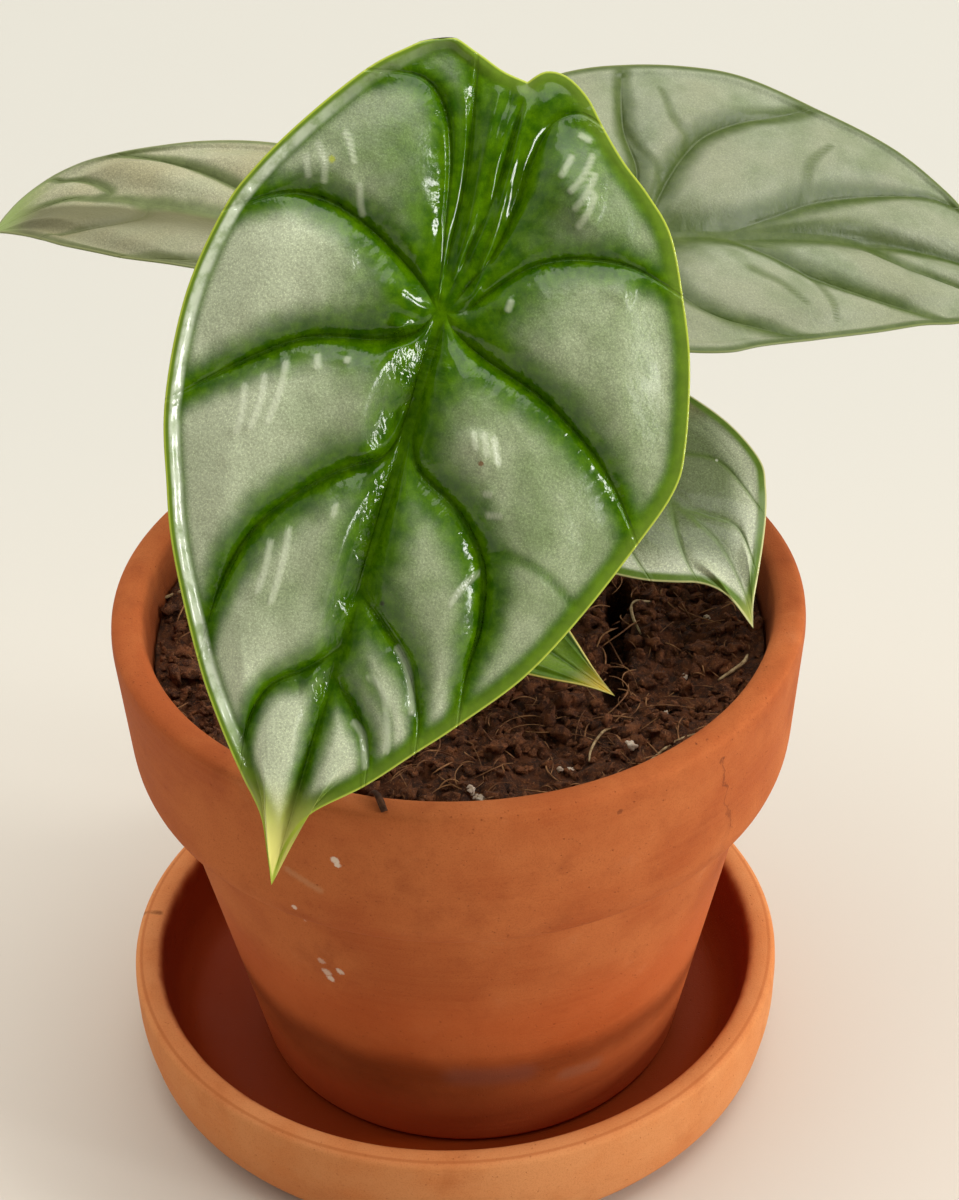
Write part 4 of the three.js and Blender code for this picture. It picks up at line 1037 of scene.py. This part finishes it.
def leaf_piece(name, leaf, material, slot):
    """A blade with its relief above, its ribs below and a rim between them."""
    detail = DETAIL[name]
    p, quilt, index, veins, notch_line = blade_points(leaf, detail)
    at = measured(name, leaf, detail, p, veins, notch_line)
    height = relief(name, leaf, detail, at, quilt)
    pucker = wet = np.zeros(len(p))
    if name == "front":
        height, pucker, wet = front_relief(at, height, np.unique(index["left"][:, 0]))
    thick = lerp(0.28, 0.55, smoothstep(at.rim, 0, 3)) * lerp(0.75, 1, min(1, at.size))
    ribs = at.size * np.exp(-(at.plain / 0.95) ** 2) * smoothstep(at.rim, 0.3, 6)
    ribs *= lerp(1.1, 0.5, smoothstep(at.heart, 0, leaf["length"]))
    ribs += 0.6 * np.exp(-(at.heart / 2.6) ** 2)
    below = height - thick - np.minimum(ribs, DEEPEST_RIB)

    sheet = sheet_faces(p, index)
    count = len(p)
    faces = sheet + [tuple(i + count for i in face[::-1]) for face in sheet]
    loop = unlike([*index["right"][:, -1], *index["left"][1:-1, -1][::-1]], closed=True)
    for a, b in zip(loop, loop[1:] + loop[:1]):
        faces.append((a, b, b + count, a + count))

    ripe = smoothstep(at.tipward, *leaf.get("ripe", RIPE_TIP))
    values = {"vein": at.vein, "run": at.run, "rim": at.rim, "heart": at.heart, "minor": at.minor,
              "ripe": ripe, "apart": at.apart, "pucker": pucker, "wet": wet, "across": at.x, "along": at.y}
    attributes = {key: np.tile(v, 2) for key, v in values.items()}
    attributes["under"] = np.repeat([0.0, 1.0], count)
    x, y, z = blade_axes(leaf)
    plane = np.array(leaf["junction"]) + p[:, :1] * x + p[:, 1:] * y
    points = np.concatenate([plane + height[:, None] * z, plane + below[:, None] * z])
    make(f"leaf_{name}", points, faces, material, slot, [f"leaf_{name}_blade"], attributes)


def stem_piece(name, leaf, stem, material):
    """A stalk that widens into a clasping sheath at its foot and spreads into the veins at its top."""
    z = blade_axes(leaf)[2]
    top = np.array(leaf["junction"]) - z * (BLADE + GAP)
    foot = np.array([*stem["foot"], STEM_FOOT])
    path = centripetal([foot, foot + (0, 0, 5), *stem["via"], top], STEM_STEPS)
    t = np.linspace(0, 1, STEM_STEPS)
    radii = lerp(*stem["radii"], t ** 0.6) * (1 + 0.10 * smoothstep(t, 0.95, 1))

    def ridges(angles, share):
        flutes = 1 + 0.035 * np.sin(5 * angles + 3 * share) + 0.02 * np.sin(9 * angles - 5 * share)
        return flutes + 0.16 * (1 - smoothstep(share, 0.05, 0.4)) * np.cos(angles * 2 + 1)

    points, faces = tube(path, radii, STEM_SIDES, ridges)
    ahead = (path[-1] - path[-2]) / np.linalg.norm(path[-1] - path[-2])
    head = points[-STEM_SIDES:]
    points[-STEM_SIDES:] = head - ahead * (((head - top) @ z) / (ahead @ z))[:, None]
    make(f"leaf_{name}_stalk", points, faces, material, "stalk", [f"leaf_{name}_stem"])


# Each leaf's material, its slot and its look.
LEAF_LOOKS = {
    "front": ("glossy_leaf", "leaf_glossy", dict(
        green=(78, 118, 0), deep=(44, 84, 0), silver=(133, 151, 106), pale=(162, 174, 138),
        rim_colour=(176, 192, 70), under=(128, 152, 92), vein_tone_and_crease_shade=(44, 78, 0), tip=(232, 226, 128),
        painted_sheen_left=(200, 209, 178), band_tone=(128, 152, 58), painted_margin_highlight=(206, 216, 192),
        roughness=0.34, gloss_roughness=0.09, grain=0.8, coat=0.08, green_from=0.3, green_to=9.0, line=0.3,
        specular=0.38, lobe_green=0.35, edge_line=(0.15, 0.4), band=(1.2, 3.8), wall=0.2, lip=0.12,
        flecks=[((12.4, -20.2), 0.45, (120, 82, 50)), ((4.1, -45.1), 0.4, (34, 44, 14)),
                ((-22.2, 17.1), 0.6, (176, 186, 60))])),
    "right": ("silver_leaf", "leaf_silver", dict(
        green=(84, 100, 46), deep=(68, 86, 32), silver=(120, 132, 98), pale=(150, 158, 132),
        rim_colour=(112, 122, 60), under=(132, 150, 98), vein_tone_and_crease_shade=(86, 104, 48), tip=(170, 178, 110),
        cast=(138, 142, 112), roughness=0.48, gloss_roughness=0.4, grain=0.55, green_from=0.2, green_to=6.0,
        line=0.15, ragged=0.7, band=(0.2, 1.6))),
    "left": ("silver_leaf_left", "leaf_silver", dict(
        green=(112, 124, 74), deep=(96, 108, 60), silver=(164, 167, 134), pale=(180, 180, 150),
        rim_colour=(132, 138, 86), under=(132, 150, 98), vein_tone_and_crease_shade=(110, 122, 70), tip=(138, 158, 88),
        cast=(156, 150, 110), near_side_shade=(98, 97, 62), roughness=0.48, gloss_roughness=0.4, grain=0.8,
        green_from=0.3, green_to=4.5, line=0.12, ragged=0.7, band=(0.2, 1.6))),
    "lower": ("silver_leaf_lower", "leaf_silver", dict(
        green=(104, 134, 44), deep=(92, 120, 34), silver=(116, 130, 88), pale=(134, 146, 108),
        rim_colour=(206, 204, 140), under=(140, 158, 104), vein_tone_and_crease_shade=(104, 126, 56), tip=(186, 190, 92),
        painted_sheen=(214, 220, 190), back=(150, 142, 104), roughness=0.36, gloss_roughness=0.3, grain=0.95,
        coat=0.3, green_from=0.0, green_to=2.6, line=0.1, ragged=0.8, band=(1.0, 2.0), vein_share=0.6,
        blend=1.0,
        flecks=[((13.5, -15.0), 0.3, (226, 230, 210))])),
    "small": ("young_leaf", "leaf_young", dict(
        green=(88, 120, 14), deep=(66, 96, 6), silver=(96, 128, 22), pale=(112, 140, 26),
        rim_colour=(200, 186, 96), under=(130, 160, 80), vein_tone_and_crease_shade=(124, 150, 50), tip=(214, 176, 48),
        roughness=0.38, gloss_roughness=0.3, grain=0.4, green_from=0.3, green_to=2.0, line=0.3)),
}
stalk_skin = plain_look("stalk_skin", (126, 150, 66), (150, 168, 92), 0.25, 0.42, 0.05, 1.2, 0.5,
                        (1.0, 1.0, 0.25))
for leaf_name, leaf_shape in LEAVES.items():
    material_name, leaf_slot, tones = LEAF_LOOKS[leaf_name]
    leaf_piece(leaf_name, leaf_shape, leaf_look(material_name, **tones), leaf_slot)
    stem_piece(leaf_name, leaf_shape, STEMS[leaf_name], stalk_skin)


def mouth_radius(z):
    """The radius of the pot's inside at this height."""
    return float(np.interp(z, [POT_FOOT + POT_FLOOR, CREASE - 3, POT_TOP - 12, POT_TOP],
                           [FOOT_RADIUS - POT_WALL + 1, BODY_RADIUS - POT_WALL, POT_MOUTH_RADIUS - 1.4,
                            POT_MOUTH_RADIUS]))


def hand_made(angles, r, z):
    return -WANDER * (0.5 + 0.3 * np.sin(2 * angles + z * 0.03) + 0.2 * np.sin(5 * angles + z * 0.11))


LIP = (POT_RIM_RADIUS - POT_MOUTH_RADIUS) / 2
INSIDE_FLOOR = POT_FOOT + POT_FLOOR
pot_profile = rounded([
    (DRAIN_RADIUS, POT_FOOT, 0.8), (FOOT_RADIUS, POT_FOOT, 1.4),
    (BODY_RADIUS - 0.2, CREASE, 1.2), (BODY_RADIUS + 1, CREASE + 1.2, 0.8),
    (COLLAR_RADIUS - 1.2, COLLAR_BOTTOM - 2.2, 2.0), (COLLAR_RADIUS - 0.1, COLLAR_BOTTOM + 0.6, 1.6),
    (COLLAR_RADIUS + 0.3, COLLAR_BOTTOM + 3, 1.5),
    (POT_RIM_RADIUS, POT_TOP - LIP, 1.0), (POT_RIM_RADIUS - 0.3, POT_TOP, 2.3),
    (POT_MOUTH_RADIUS + 0.2, POT_TOP, 2.3), (mouth_radius(POT_TOP - 4), POT_TOP - 4, 1.0),
    (mouth_radius(POT_TOP - 12), POT_TOP - 12, 1.0), (mouth_radius(CREASE - 3), CREASE - 3, 1.0),
    (mouth_radius(INSIDE_FLOOR + 1.5), INSIDE_FLOOR + 1.5, 0),
    (mouth_radius(INSIDE_FLOOR) - 1.5, INSIDE_FLOOR, 0), (DRAIN_RADIUS, INSIDE_FLOOR, 0.8)])
pot_points, pot_faces = turned(refine(pot_profile, 2.2), TURNED_SIDES, hand_made)
LIME, CREAM, CRACK = (226, 208, 190), (196, 150, 110), (92, 42, 22)
# Specks: place, radius, strength and tone. Strokes: two places, radius, strength and tone. Height bands:
# lower height, fade, upper height, strength and tone; the two from the foot up paint the lower body paler
# and warmer, as painted light, and the third is a wet ring.
POT_SPECKS = [
    ((-18.6, -55.3, 87.9), 0.75, 0.9, LIME), ((-18.2, -55.4, 86.9), 0.6, 0.9, LIME),
    ((-25.9, -50.2, 73.9), 0.55, 0.7, LIME), ((-25.2, -44.0, 64.6), 0.6, 0.75, LIME),
    ((-22.8, -42.4, 54.2), 0.8, 0.4, LIME), ((-21.9, -42.0, 51.4), 0.9, 0.6, LIME),
    ((-21.3, -41.9, 49.9), 0.75, 0.75, LIME), ((-19.4, -43.4, 53.0), 0.75, 0.7, LIME),
    ((27.4, -54.5, 95.3), 0.5, 0.5, CRACK),
]
POT_STROKES = [
    ((39.9, -43.2, 99.6), (40.6, -45.0, 98.2), 0.22, 0.75, CRACK),
    ((42.5, -41.6, 99.5), (44.8, -42.5, 95.6), 0.2, 0.55, CRACK),
    ((44.8, -42.5, 95.6), (45.7, -40.5, 87.6), 0.2, 0.5, CRACK),
    ((45.7, -40.5, 87.6), (46.9, -37.9, 76.8), 0.2, 0.35, CRACK),
    ((-26.5, -51.0, 82.5), (-21.5, -53.3, 80.0), 0.9, 0.35, CREAM),
    ((0.0, -43.4, 26.6), (11.0, -41.9, 26.2), 3.2, 0.18, (152, 112, 104)),
    ((19.0, -38.8, 22.5), (24.0, -36.2, 22.0), 2.0, 0.25, (152, 118, 98)),
]
POT_DAMP_AND_FOOT_LIGHT = [(-9, 8, 48, 0.5, (188, 86, 38)), (-9, 4, 19, 0.7, (222, 112, 60)),
            (24.0, 3.5, 30.5, 0.55, (104, 40, 16))]
terracotta = clay_look("terracotta_clay", (170, 85, 40), (190, 108, 59), (136, 62, 27),
                       # Darker inside the mouth above the soil: painted shade.
                       (POT_AXIS[0], POT_MOUTH_RADIUS - 0.4, SOIL_LEVEL - 8, 0.8, (104, 48, 24)),
                       POT_DAMP_AND_FOOT_LIGHT, POT_SPECKS, POT_STROKES)
make("pot_shell", pot_points + (*POT_AXIS, 0), pot_faces, terracotta, "terracotta", ["pot"])

SAUCER_LIP = (SAUCER_RADIUS - SAUCER_MOUTH_RADIUS) / 2
saucer_profile = rounded([
    (0, 0, 0), (SAUCER_FOOT_RADIUS, 0, 1), (SAUCER_FOOT_RADIUS + 4, 1.6, 1.4),
    (SAUCER_FOOT_RADIUS + 6.8, 5.4, 1.6), (SAUCER_RADIUS - 0.3, 11.8, 2.0),
    (SAUCER_RADIUS, SAUCER_HEIGHT - SAUCER_LIP, 1.2), (SAUCER_RADIUS - 0.2, SAUCER_HEIGHT, 2.2),
    (SAUCER_MOUTH_RADIUS + 0.2, SAUCER_HEIGHT, 2.2), (SAUCER_MOUTH_RADIUS - 0.4, SAUCER_HEIGHT - 4, 1.5),
    (SAUCER_MOUTH_RADIUS - 2.2, SAUCER_FLOOR + 5, 2.5), (SAUCER_MOUTH_RADIUS - 5, SAUCER_FLOOR + 1.2, 2.0),
    (SAUCER_MOUTH_RADIUS - 8, SAUCER_FLOOR, 2.0), (0, SAUCER_FLOOR, 0)])
saucer_clay = clay_look("saucer_terracotta", (208, 128, 72), (216, 146, 92), (176, 96, 48),
                        (0.0, SAUCER_MOUTH_RADIUS + 0.4, 4.0, 1.0, (142, 54, 14)), bloom=0.05,
                        strokes=[((-59.2, 9.6, 20.6), (-55.4, 9.0, 21.4), 0.6, 0.6, CRACK)],
                        groove_shade=(SAUCER_RADIUS - 1.3, SAUCER_HEIGHT - 3))
make("saucer_dish", *turned(refine(saucer_profile, 2.4), TURNED_SIDES, hand_made), saucer_clay,
     "saucer_clay", ["saucer"])


def lattice(i, j):
    v = np.sin(i * 127.1 + j * 311.7) * 43758.5453
    return 2 * (v - np.floor(v)) - 1


def plan_noise(x, y):
    """Smooth noise on a square lattice of unit step, -1 to 1."""
    i, j = np.floor(x), np.floor(y)
    u, v = smoothstep(x - i, 0, 1), smoothstep(y - j, 0, 1)
    near = lerp(lattice(i, j), lattice(i + 1, j), u)
    far = lerp(lattice(i, j + 1), lattice(i + 1, j + 1), u)
    return lerp(near, far, v)


def soil_height(x, y, fine=True):
    """Height of the soil: mounded at the crown, lumpy, with a narrow hollow."""
    x, y = np.asarray(x, float), np.asarray(y, float)
    mound = SOIL_RISE * np.exp(-((np.hypot(x - CROWN_AT[0], y - CROWN_AT[1]) / 22) ** 2))
    lumps = 0.6 * plan_noise(x / 9, y / 9) + 0.4 * plan_noise(x / 4.5 + 7, y / 4.5)
    height = SOIL_LEVEL + mound + SOIL_LUMP * lumps
    if fine:
        for size, rise in ((3.1, 0.9), (1.5, 0.6), (0.8, 0.3)):
            height = height + rise * plan_noise(x / size + 3 * size, y / size - 5 * size)
        slit = to_line(np.stack([x.ravel(), y.ravel()], 1), [HOLLOW_FROM, HOLLOW_TO])[0]
        slit = slit.reshape(x.shape) + 0.35 * plan_noise(x / 1.5, y / 1.5)
        height = height - HOLLOW_DEPTH * (1 - smoothstep(slit, 1.2, HOLLOW_WIDTH / 2 + 0.9))
    return height


brim = mouth_radius(SOIL_LEVEL - SOIL_LUMP) - GAP
spokes = np.arange(SOIL_SPOKES) * TURN / SOIL_SPOKES
rings = brim * (np.arange(1, SOIL_RINGS + 1) / SOIL_RINGS) ** 0.8
plan_x = POT_AXIS[0] + rings[:, None] * np.cos(spokes)
plan_y = POT_AXIS[1] + rings[:, None] * np.sin(spokes)
soil_rings = list(np.stack([plan_x, plan_y, soil_height(plan_x, plan_y)], -1))
for z in (SOIL_LEVEL - 12, SOIL_LEVEL - 24):
    r = mouth_radius(z) - GAP
    soil_rings.append(np.stack([POT_AXIS[0] + r * np.cos(spokes), POT_AXIS[1] + r * np.sin(spokes),
                                np.full(SOIL_SPOKES, z)], 1))
soil_points = np.concatenate([[(*POT_AXIS, soil_height(*POT_AXIS))], *soil_rings])
soil_faces = []
for j in range(SOIL_SPOKES):
    m = (j + 1) % SOIL_SPOKES
    soil_faces.append((0, 1 + j, 1 + m))
    for base in range(1, 1 + (SOIL_RINGS + 1) * SOIL_SPOKES, SOIL_SPOKES):
        soil_faces.append((base + j, base + SOIL_SPOKES + j, base + SOIL_SPOKES + m, base + m))
soil_faces.append(tuple(range(1 + (SOIL_RINGS + 1) * SOIL_SPOKES, len(soil_points)))[::-1])
earth = soil_look("potting_mix", (46, 24, 13), (100, 57, 32), (150, 94, 58), (166, 118, 76))
make("soil_surface", soil_points, soil_faces, earth, "soil", ["soil"])


def icosphere(subdivisions):
    mesh = bpy.data.meshes.new("pattern")
    ball = bmesh.new()
    bmesh.ops.create_icosphere(ball, subdivisions=subdivisions, radius=1)
    ball.to_mesh(mesh)
    ball.free()
    points = np.array([v.co for v in mesh.vertices])
    faces = [tuple(f.vertices) for f in mesh.polygons]
    bpy.data.meshes.remove(mesh)
    return points, faces


def lump(pattern, x, y, size, lift, stretch, roughness):
    """A crumb on the soil: the pattern sphere squeezed, turned and dented."""
    points, faces = pattern
    seed = rng.uniform(0, 40, 3)
    bumps = np.array([mnoise.noise(Vector(p * 1.7 + seed)) for p in points])
    shape = points * (1 + roughness * bumps)[:, None] * np.array(stretch) * size
    turn = np.array(Matrix.Rotation(rng.uniform(0, 6.28), 3, Vector(rng.normal(size=3)).normalized()))
    return shape @ turn.T + (x, y, soil_height(x, y) + size * lift), faces


def scattered(count):
    """Random places in plan, inside the pot's mouth."""
    r = brim * np.sqrt(rng.uniform(0, 1, count)) * 0.985
    a = rng.uniform(0, TURN, count)
    return zip(POT_AXIS[0] + r * np.cos(a), POT_AXIS[1] + r * np.sin(a))


crumb_pattern, grain_pattern = icosphere(2), icosphere(3)
crumbs = []
for x, y in scattered(CRUMBS):
    size = rng.choice(CRUMB_SIZES, p=CRUMB_SHARES) * rng.uniform(0.8, 1.25)
    crumbs.append(lump(crumb_pattern, x, y, size, 0.25, (1.25, 0.9, 0.75), 1.0))
crumb_look = soil_look("coir_crumbs", (64, 33, 18), (128, 77, 46), (170, 112, 74), (182, 130, 88))
make("soil_crumbs", *joined(crumbs), crumb_look, "soil")

fibres = []
for x, y in scattered(FIBRES):
    length = rng.uniform(*FIBRE_LENGTHS)
    a = rng.uniform(0, 6.28)
    bend = rng.uniform(-0.9, 0.9)
    s = np.linspace(-0.5, 0.5, 9)
    px = x + length * (s * math.cos(a) - bend * s ** 2 * math.sin(a))
    py = y + length * (s * math.sin(a) + bend * s ** 2 * math.cos(a))
    if np.hypot(px - POT_AXIS[0], py - POT_AXIS[1]).max() > brim - 0.4:
        continue
    pz = soil_height(px, py, fine=False) + 0.3 + rng.uniform(0, 0.9) * (1 - 4 * s ** 2) + 0.25
    fibres.append(tube(np.stack([px, py, pz], 1), rng.uniform(*FIBRE_RADII) * (1 - 1.6 * s ** 2), 5))
fibre_look = plain_look("coir_fibre", (92, 54, 32), (164, 118, 78), 0.3, 0.8, 0.03, 4.0, 0.3)
make("soil_fibres", *joined(fibres), fibre_look, "soil")

# Perlite: places in plan and radius. These lie in front of the crown; others are scattered behind it.
FRONT_PERLITE = [(30.5, -33.1, 0.9), (41.0, -12.8, 0.5), (18.5, -37.2, 0.5), (20.2, -37.0, 0.6),
                 (3.6, -42.9, 0.8), (4.5, -43.7, 0.6), (5.5, -44.5, 0.75), (37.0, -24.0, 0.4),
                 (46.0, 3.0, 0.5)]
grains = FRONT_PERLITE + [(x, y, rng.uniform(0.5, 1.2)) for x, y in scattered(26) if y > BACK_FROM]
perlite = [lump(grain_pattern, x, y, radius, 0.75, (1.15, 0.9, 0.85), 0.7) for x, y, radius in grains]
perlite_look = plain_look("perlite_grain", (214, 200, 184), (190, 168, 148), 1.2, 0.85, 0.08, 4.0, 0.3)
make("soil_perlite", *joined(perlite), perlite_look, "soil")

# Loose roots and straws: places in plan, how far each lies above the soil, and the thread's radius.
ROOTS = [
    ([(37.2, 7.6), (35, 6.6), (33.7, 6.2), (32.9, 4.7), (33.0, 1.5), (34.1, -2.4)],
     [0.2, 1.0, 1.4, 1.3, 0.8, 0.2], 0.28),
    ([(23.4, -36.0), (23.7, -34.2), (25.0, -30.9), (26.6, -28.3), (28.6, -27.1)],
     [0.2, 0.9, 1.2, 1.0, 0.3], 0.24),
    ([(46.5, -14.6), (51.0, -11.8), (52.0, -9.4)], [0.2, 1.4, 1.3], 0.35),
    ([(-51.6, 12.4), (-49.5, 13.2), (-44.5, 14.6), (-40.0, 14.0)], [0.8, 1.2, 0.9, 0.1], 0.3),
    ([(33.5, -35.2), (38.0, -31.8), (42.5, -29.8)], [0.2, 0.8, 0.3], 0.24),
    ([(-20.0, 34.0), (-14.0, 38.5), (-7.0, 37.0), (-3.0, 40.5)], [0.2, 1.2, 1.0, 0.2], 0.4),
    ([(22.0, 30.0), (28.0, 34.0), (29.5, 39.0), (25.0, 41.0)], [0.2, 1.0, 1.2, 0.3], 0.35),
]


def root_thread(plan, lift, radius, count=26):
    x, y = np.array(plan, float).T
    path = centripetal(np.column_stack([x, y, soil_height(x, y, fine=False) + np.array(lift)]), count)
    return tube(path, radius * (1 - 0.5 * np.abs(np.linspace(-1, 1, count)) ** 3), 8)


root_look = plain_look("root_skin", (188, 164, 124), (128, 100, 68), 0.8, 0.7, 0.05, 3.0, 0.35)
make("soil_roots", *joined(root_thread(*root) for root in ROOTS), root_look, "soil")

# A bark chip that leans over the pot's rim.
twig_path = centripetal([(-13.2, -50.6, 94.5), (-12.3, -52.2, 98.6), (-11.6, -53.6, 100.2),
                         (-10.8, -55.6, 100.3), (-10.1, -57.4, 99.6)], 30)
twig_share = np.linspace(0, 1, 30)
twig = tube(twig_path, 0.55 + 0.22 * np.sin(7 * twig_share) * (1 - twig_share), 12,
            lambda a, t: 1 + 0.18 * np.sin(3 * a + 9 * t) + 0.08 * np.sin(5 * a))
bark = plain_look("bark_chip", (58, 34, 20), (92, 58, 36), 0.9, 0.85, 0.15, 2.4, 0.3)
make("soil_twig", *twig, bark, "soil")


def scaly(a, r, z):
    return -r * (0.05 * (1 + np.cos(5 * a + 0.6)) + 0.02 * np.sin(13 * a + z * 0.8) + 0.015 * np.sin(29 * a))


crown_profile = refine(rounded([
    (0, CROWN_BOTTOM, 0), (CROWN_RADIUS * 0.7, CROWN_BOTTOM + 1, 1),
    (CROWN_RADIUS * 0.95, CROWN_BOTTOM + 5, 1), (CROWN_RADIUS, CROWN_SHOULDER, 1.5),
    (CROWN_RADIUS * 0.86, CROWN_TOP - 2, 1.2), (CROWN_RADIUS * 0.6, CROWN_TOP - 0.4, 1), (0, CROWN_TOP, 0)],
    5), 0.8)
crown_points, crown_faces = turned(crown_profile, 72, scaly)
crown_look = plain_look("crown_skin", (112, 92, 52), (150, 136, 84), 0.4, 0.75, 0.12, 1.6, 0.35,
                        (1.0, 1.0, 0.3))
make("crown_base", crown_points + (*CROWN_AT, 0), crown_faces, crown_look, "crown", ["crown"])

# Floor, camera and light, from here on in metres.
h = FLOOR_SIZE / 2
floor_mesh = bpy.data.meshes.new("floor")
floor_mesh.from_pydata([(-h, -h, 0), (h, -h, 0), (h, h, 0), (-h, h, 0)], [], [(0, 1, 2, 3)])
paper = Look("floor_paper", specular=0.2)
# Painted shade: the floor is painted darker and less warm towards the back.
far_shade = paper.remap(paper.separate(paper.mm)[1], -60, 260)
floor_mesh.materials.append(paper.finish(paper.mix(far_shade, (212, 206, 196), (200, 199, 192)), 0.85))
floor = bpy.data.objects.new("floor", floor_mesh)
bpy.context.scene.collection.objects.link(floor)

camera_data = bpy.data.cameras.new("camera")
camera_data.lens, camera_data.sensor_width, camera_data.sensor_fit = 100, 36, "AUTO"
camera_data.clip_start = 0.01
camera = bpy.data.objects.new("camera", camera_data)
columns = (CAMERA_RIGHT, CAMERA_UP, [-c for c in CAMERA_FORWARD], CAMERA_AT)
camera.matrix_world = Matrix([*zip(*columns), (0, 0, 0, 1)])
bpy.context.scene.collection.objects.link(camera)
bpy.context.scene.camera = camera


def softbox(name, azimuth, elevation, distance, width, height, watts, colour):
    """An area light aimed at the plant; azimuth 0 is the front and 90 the right."""
    a, e = math.radians(azimuth), math.radians(elevation)
    away = Vector((math.sin(a) * math.cos(e), -math.cos(a) * math.cos(e), math.sin(e)))
    data = bpy.data.lights.new(name, "AREA")
    data.shape = "RECTANGLE"
    data.size, data.size_y = width, height
    data.energy, data.color = watts, colour
    light = bpy.data.objects.new(name, data)
    light.location = Vector(TARGET) + away * distance
    light.rotation_euler = away.to_track_quat("Z", "Y").to_euler()
    bpy.context.scene.collection.objects.link(light)


softbox("key", 80, 24, 4.0, 0.8, 0.7, 43, (1.0, 0.99, 0.97))
softbox("low", 62, 7, 4.0, 0.45, 1.5, 60, (1.0, 0.99, 0.97))
softbox("top", 130, 78, 2.2, 2.0, 2.0, 30, (1.0, 0.985, 0.95))

# Even room light, brighter overhead. The side of the room behind the camera is dark, and reflections see
# more of that dark than the soft fill does.
world = bpy.data.worlds.new("room")
bpy.context.scene.world = world
room = Nodes(world)
background = room.tree.nodes["Background"].inputs
background["Color"].default_value = ROOM_COLOUR
_, front, up = room.separate(room.node("TexCoord", output="Generated"))
fill = room.remap(front, -0.85, -0.15, DARK_FRONT, 1.0)
reflected = room.remap(front, -0.6, 0.3, 0.5 * DARK_FRONT, 0.6)
mirrored = room.node("LightPath", output="Is Glossy Ray")
strength = room.node("Mix", {0: mirrored, 2: fill, 3: reflected})
room.put(background["Strength"], room.remap(up, 0.0, 0.9, HORIZON, ZENITH) * strength)
bpy.context.scene.view_settings.view_transform = "Standard"
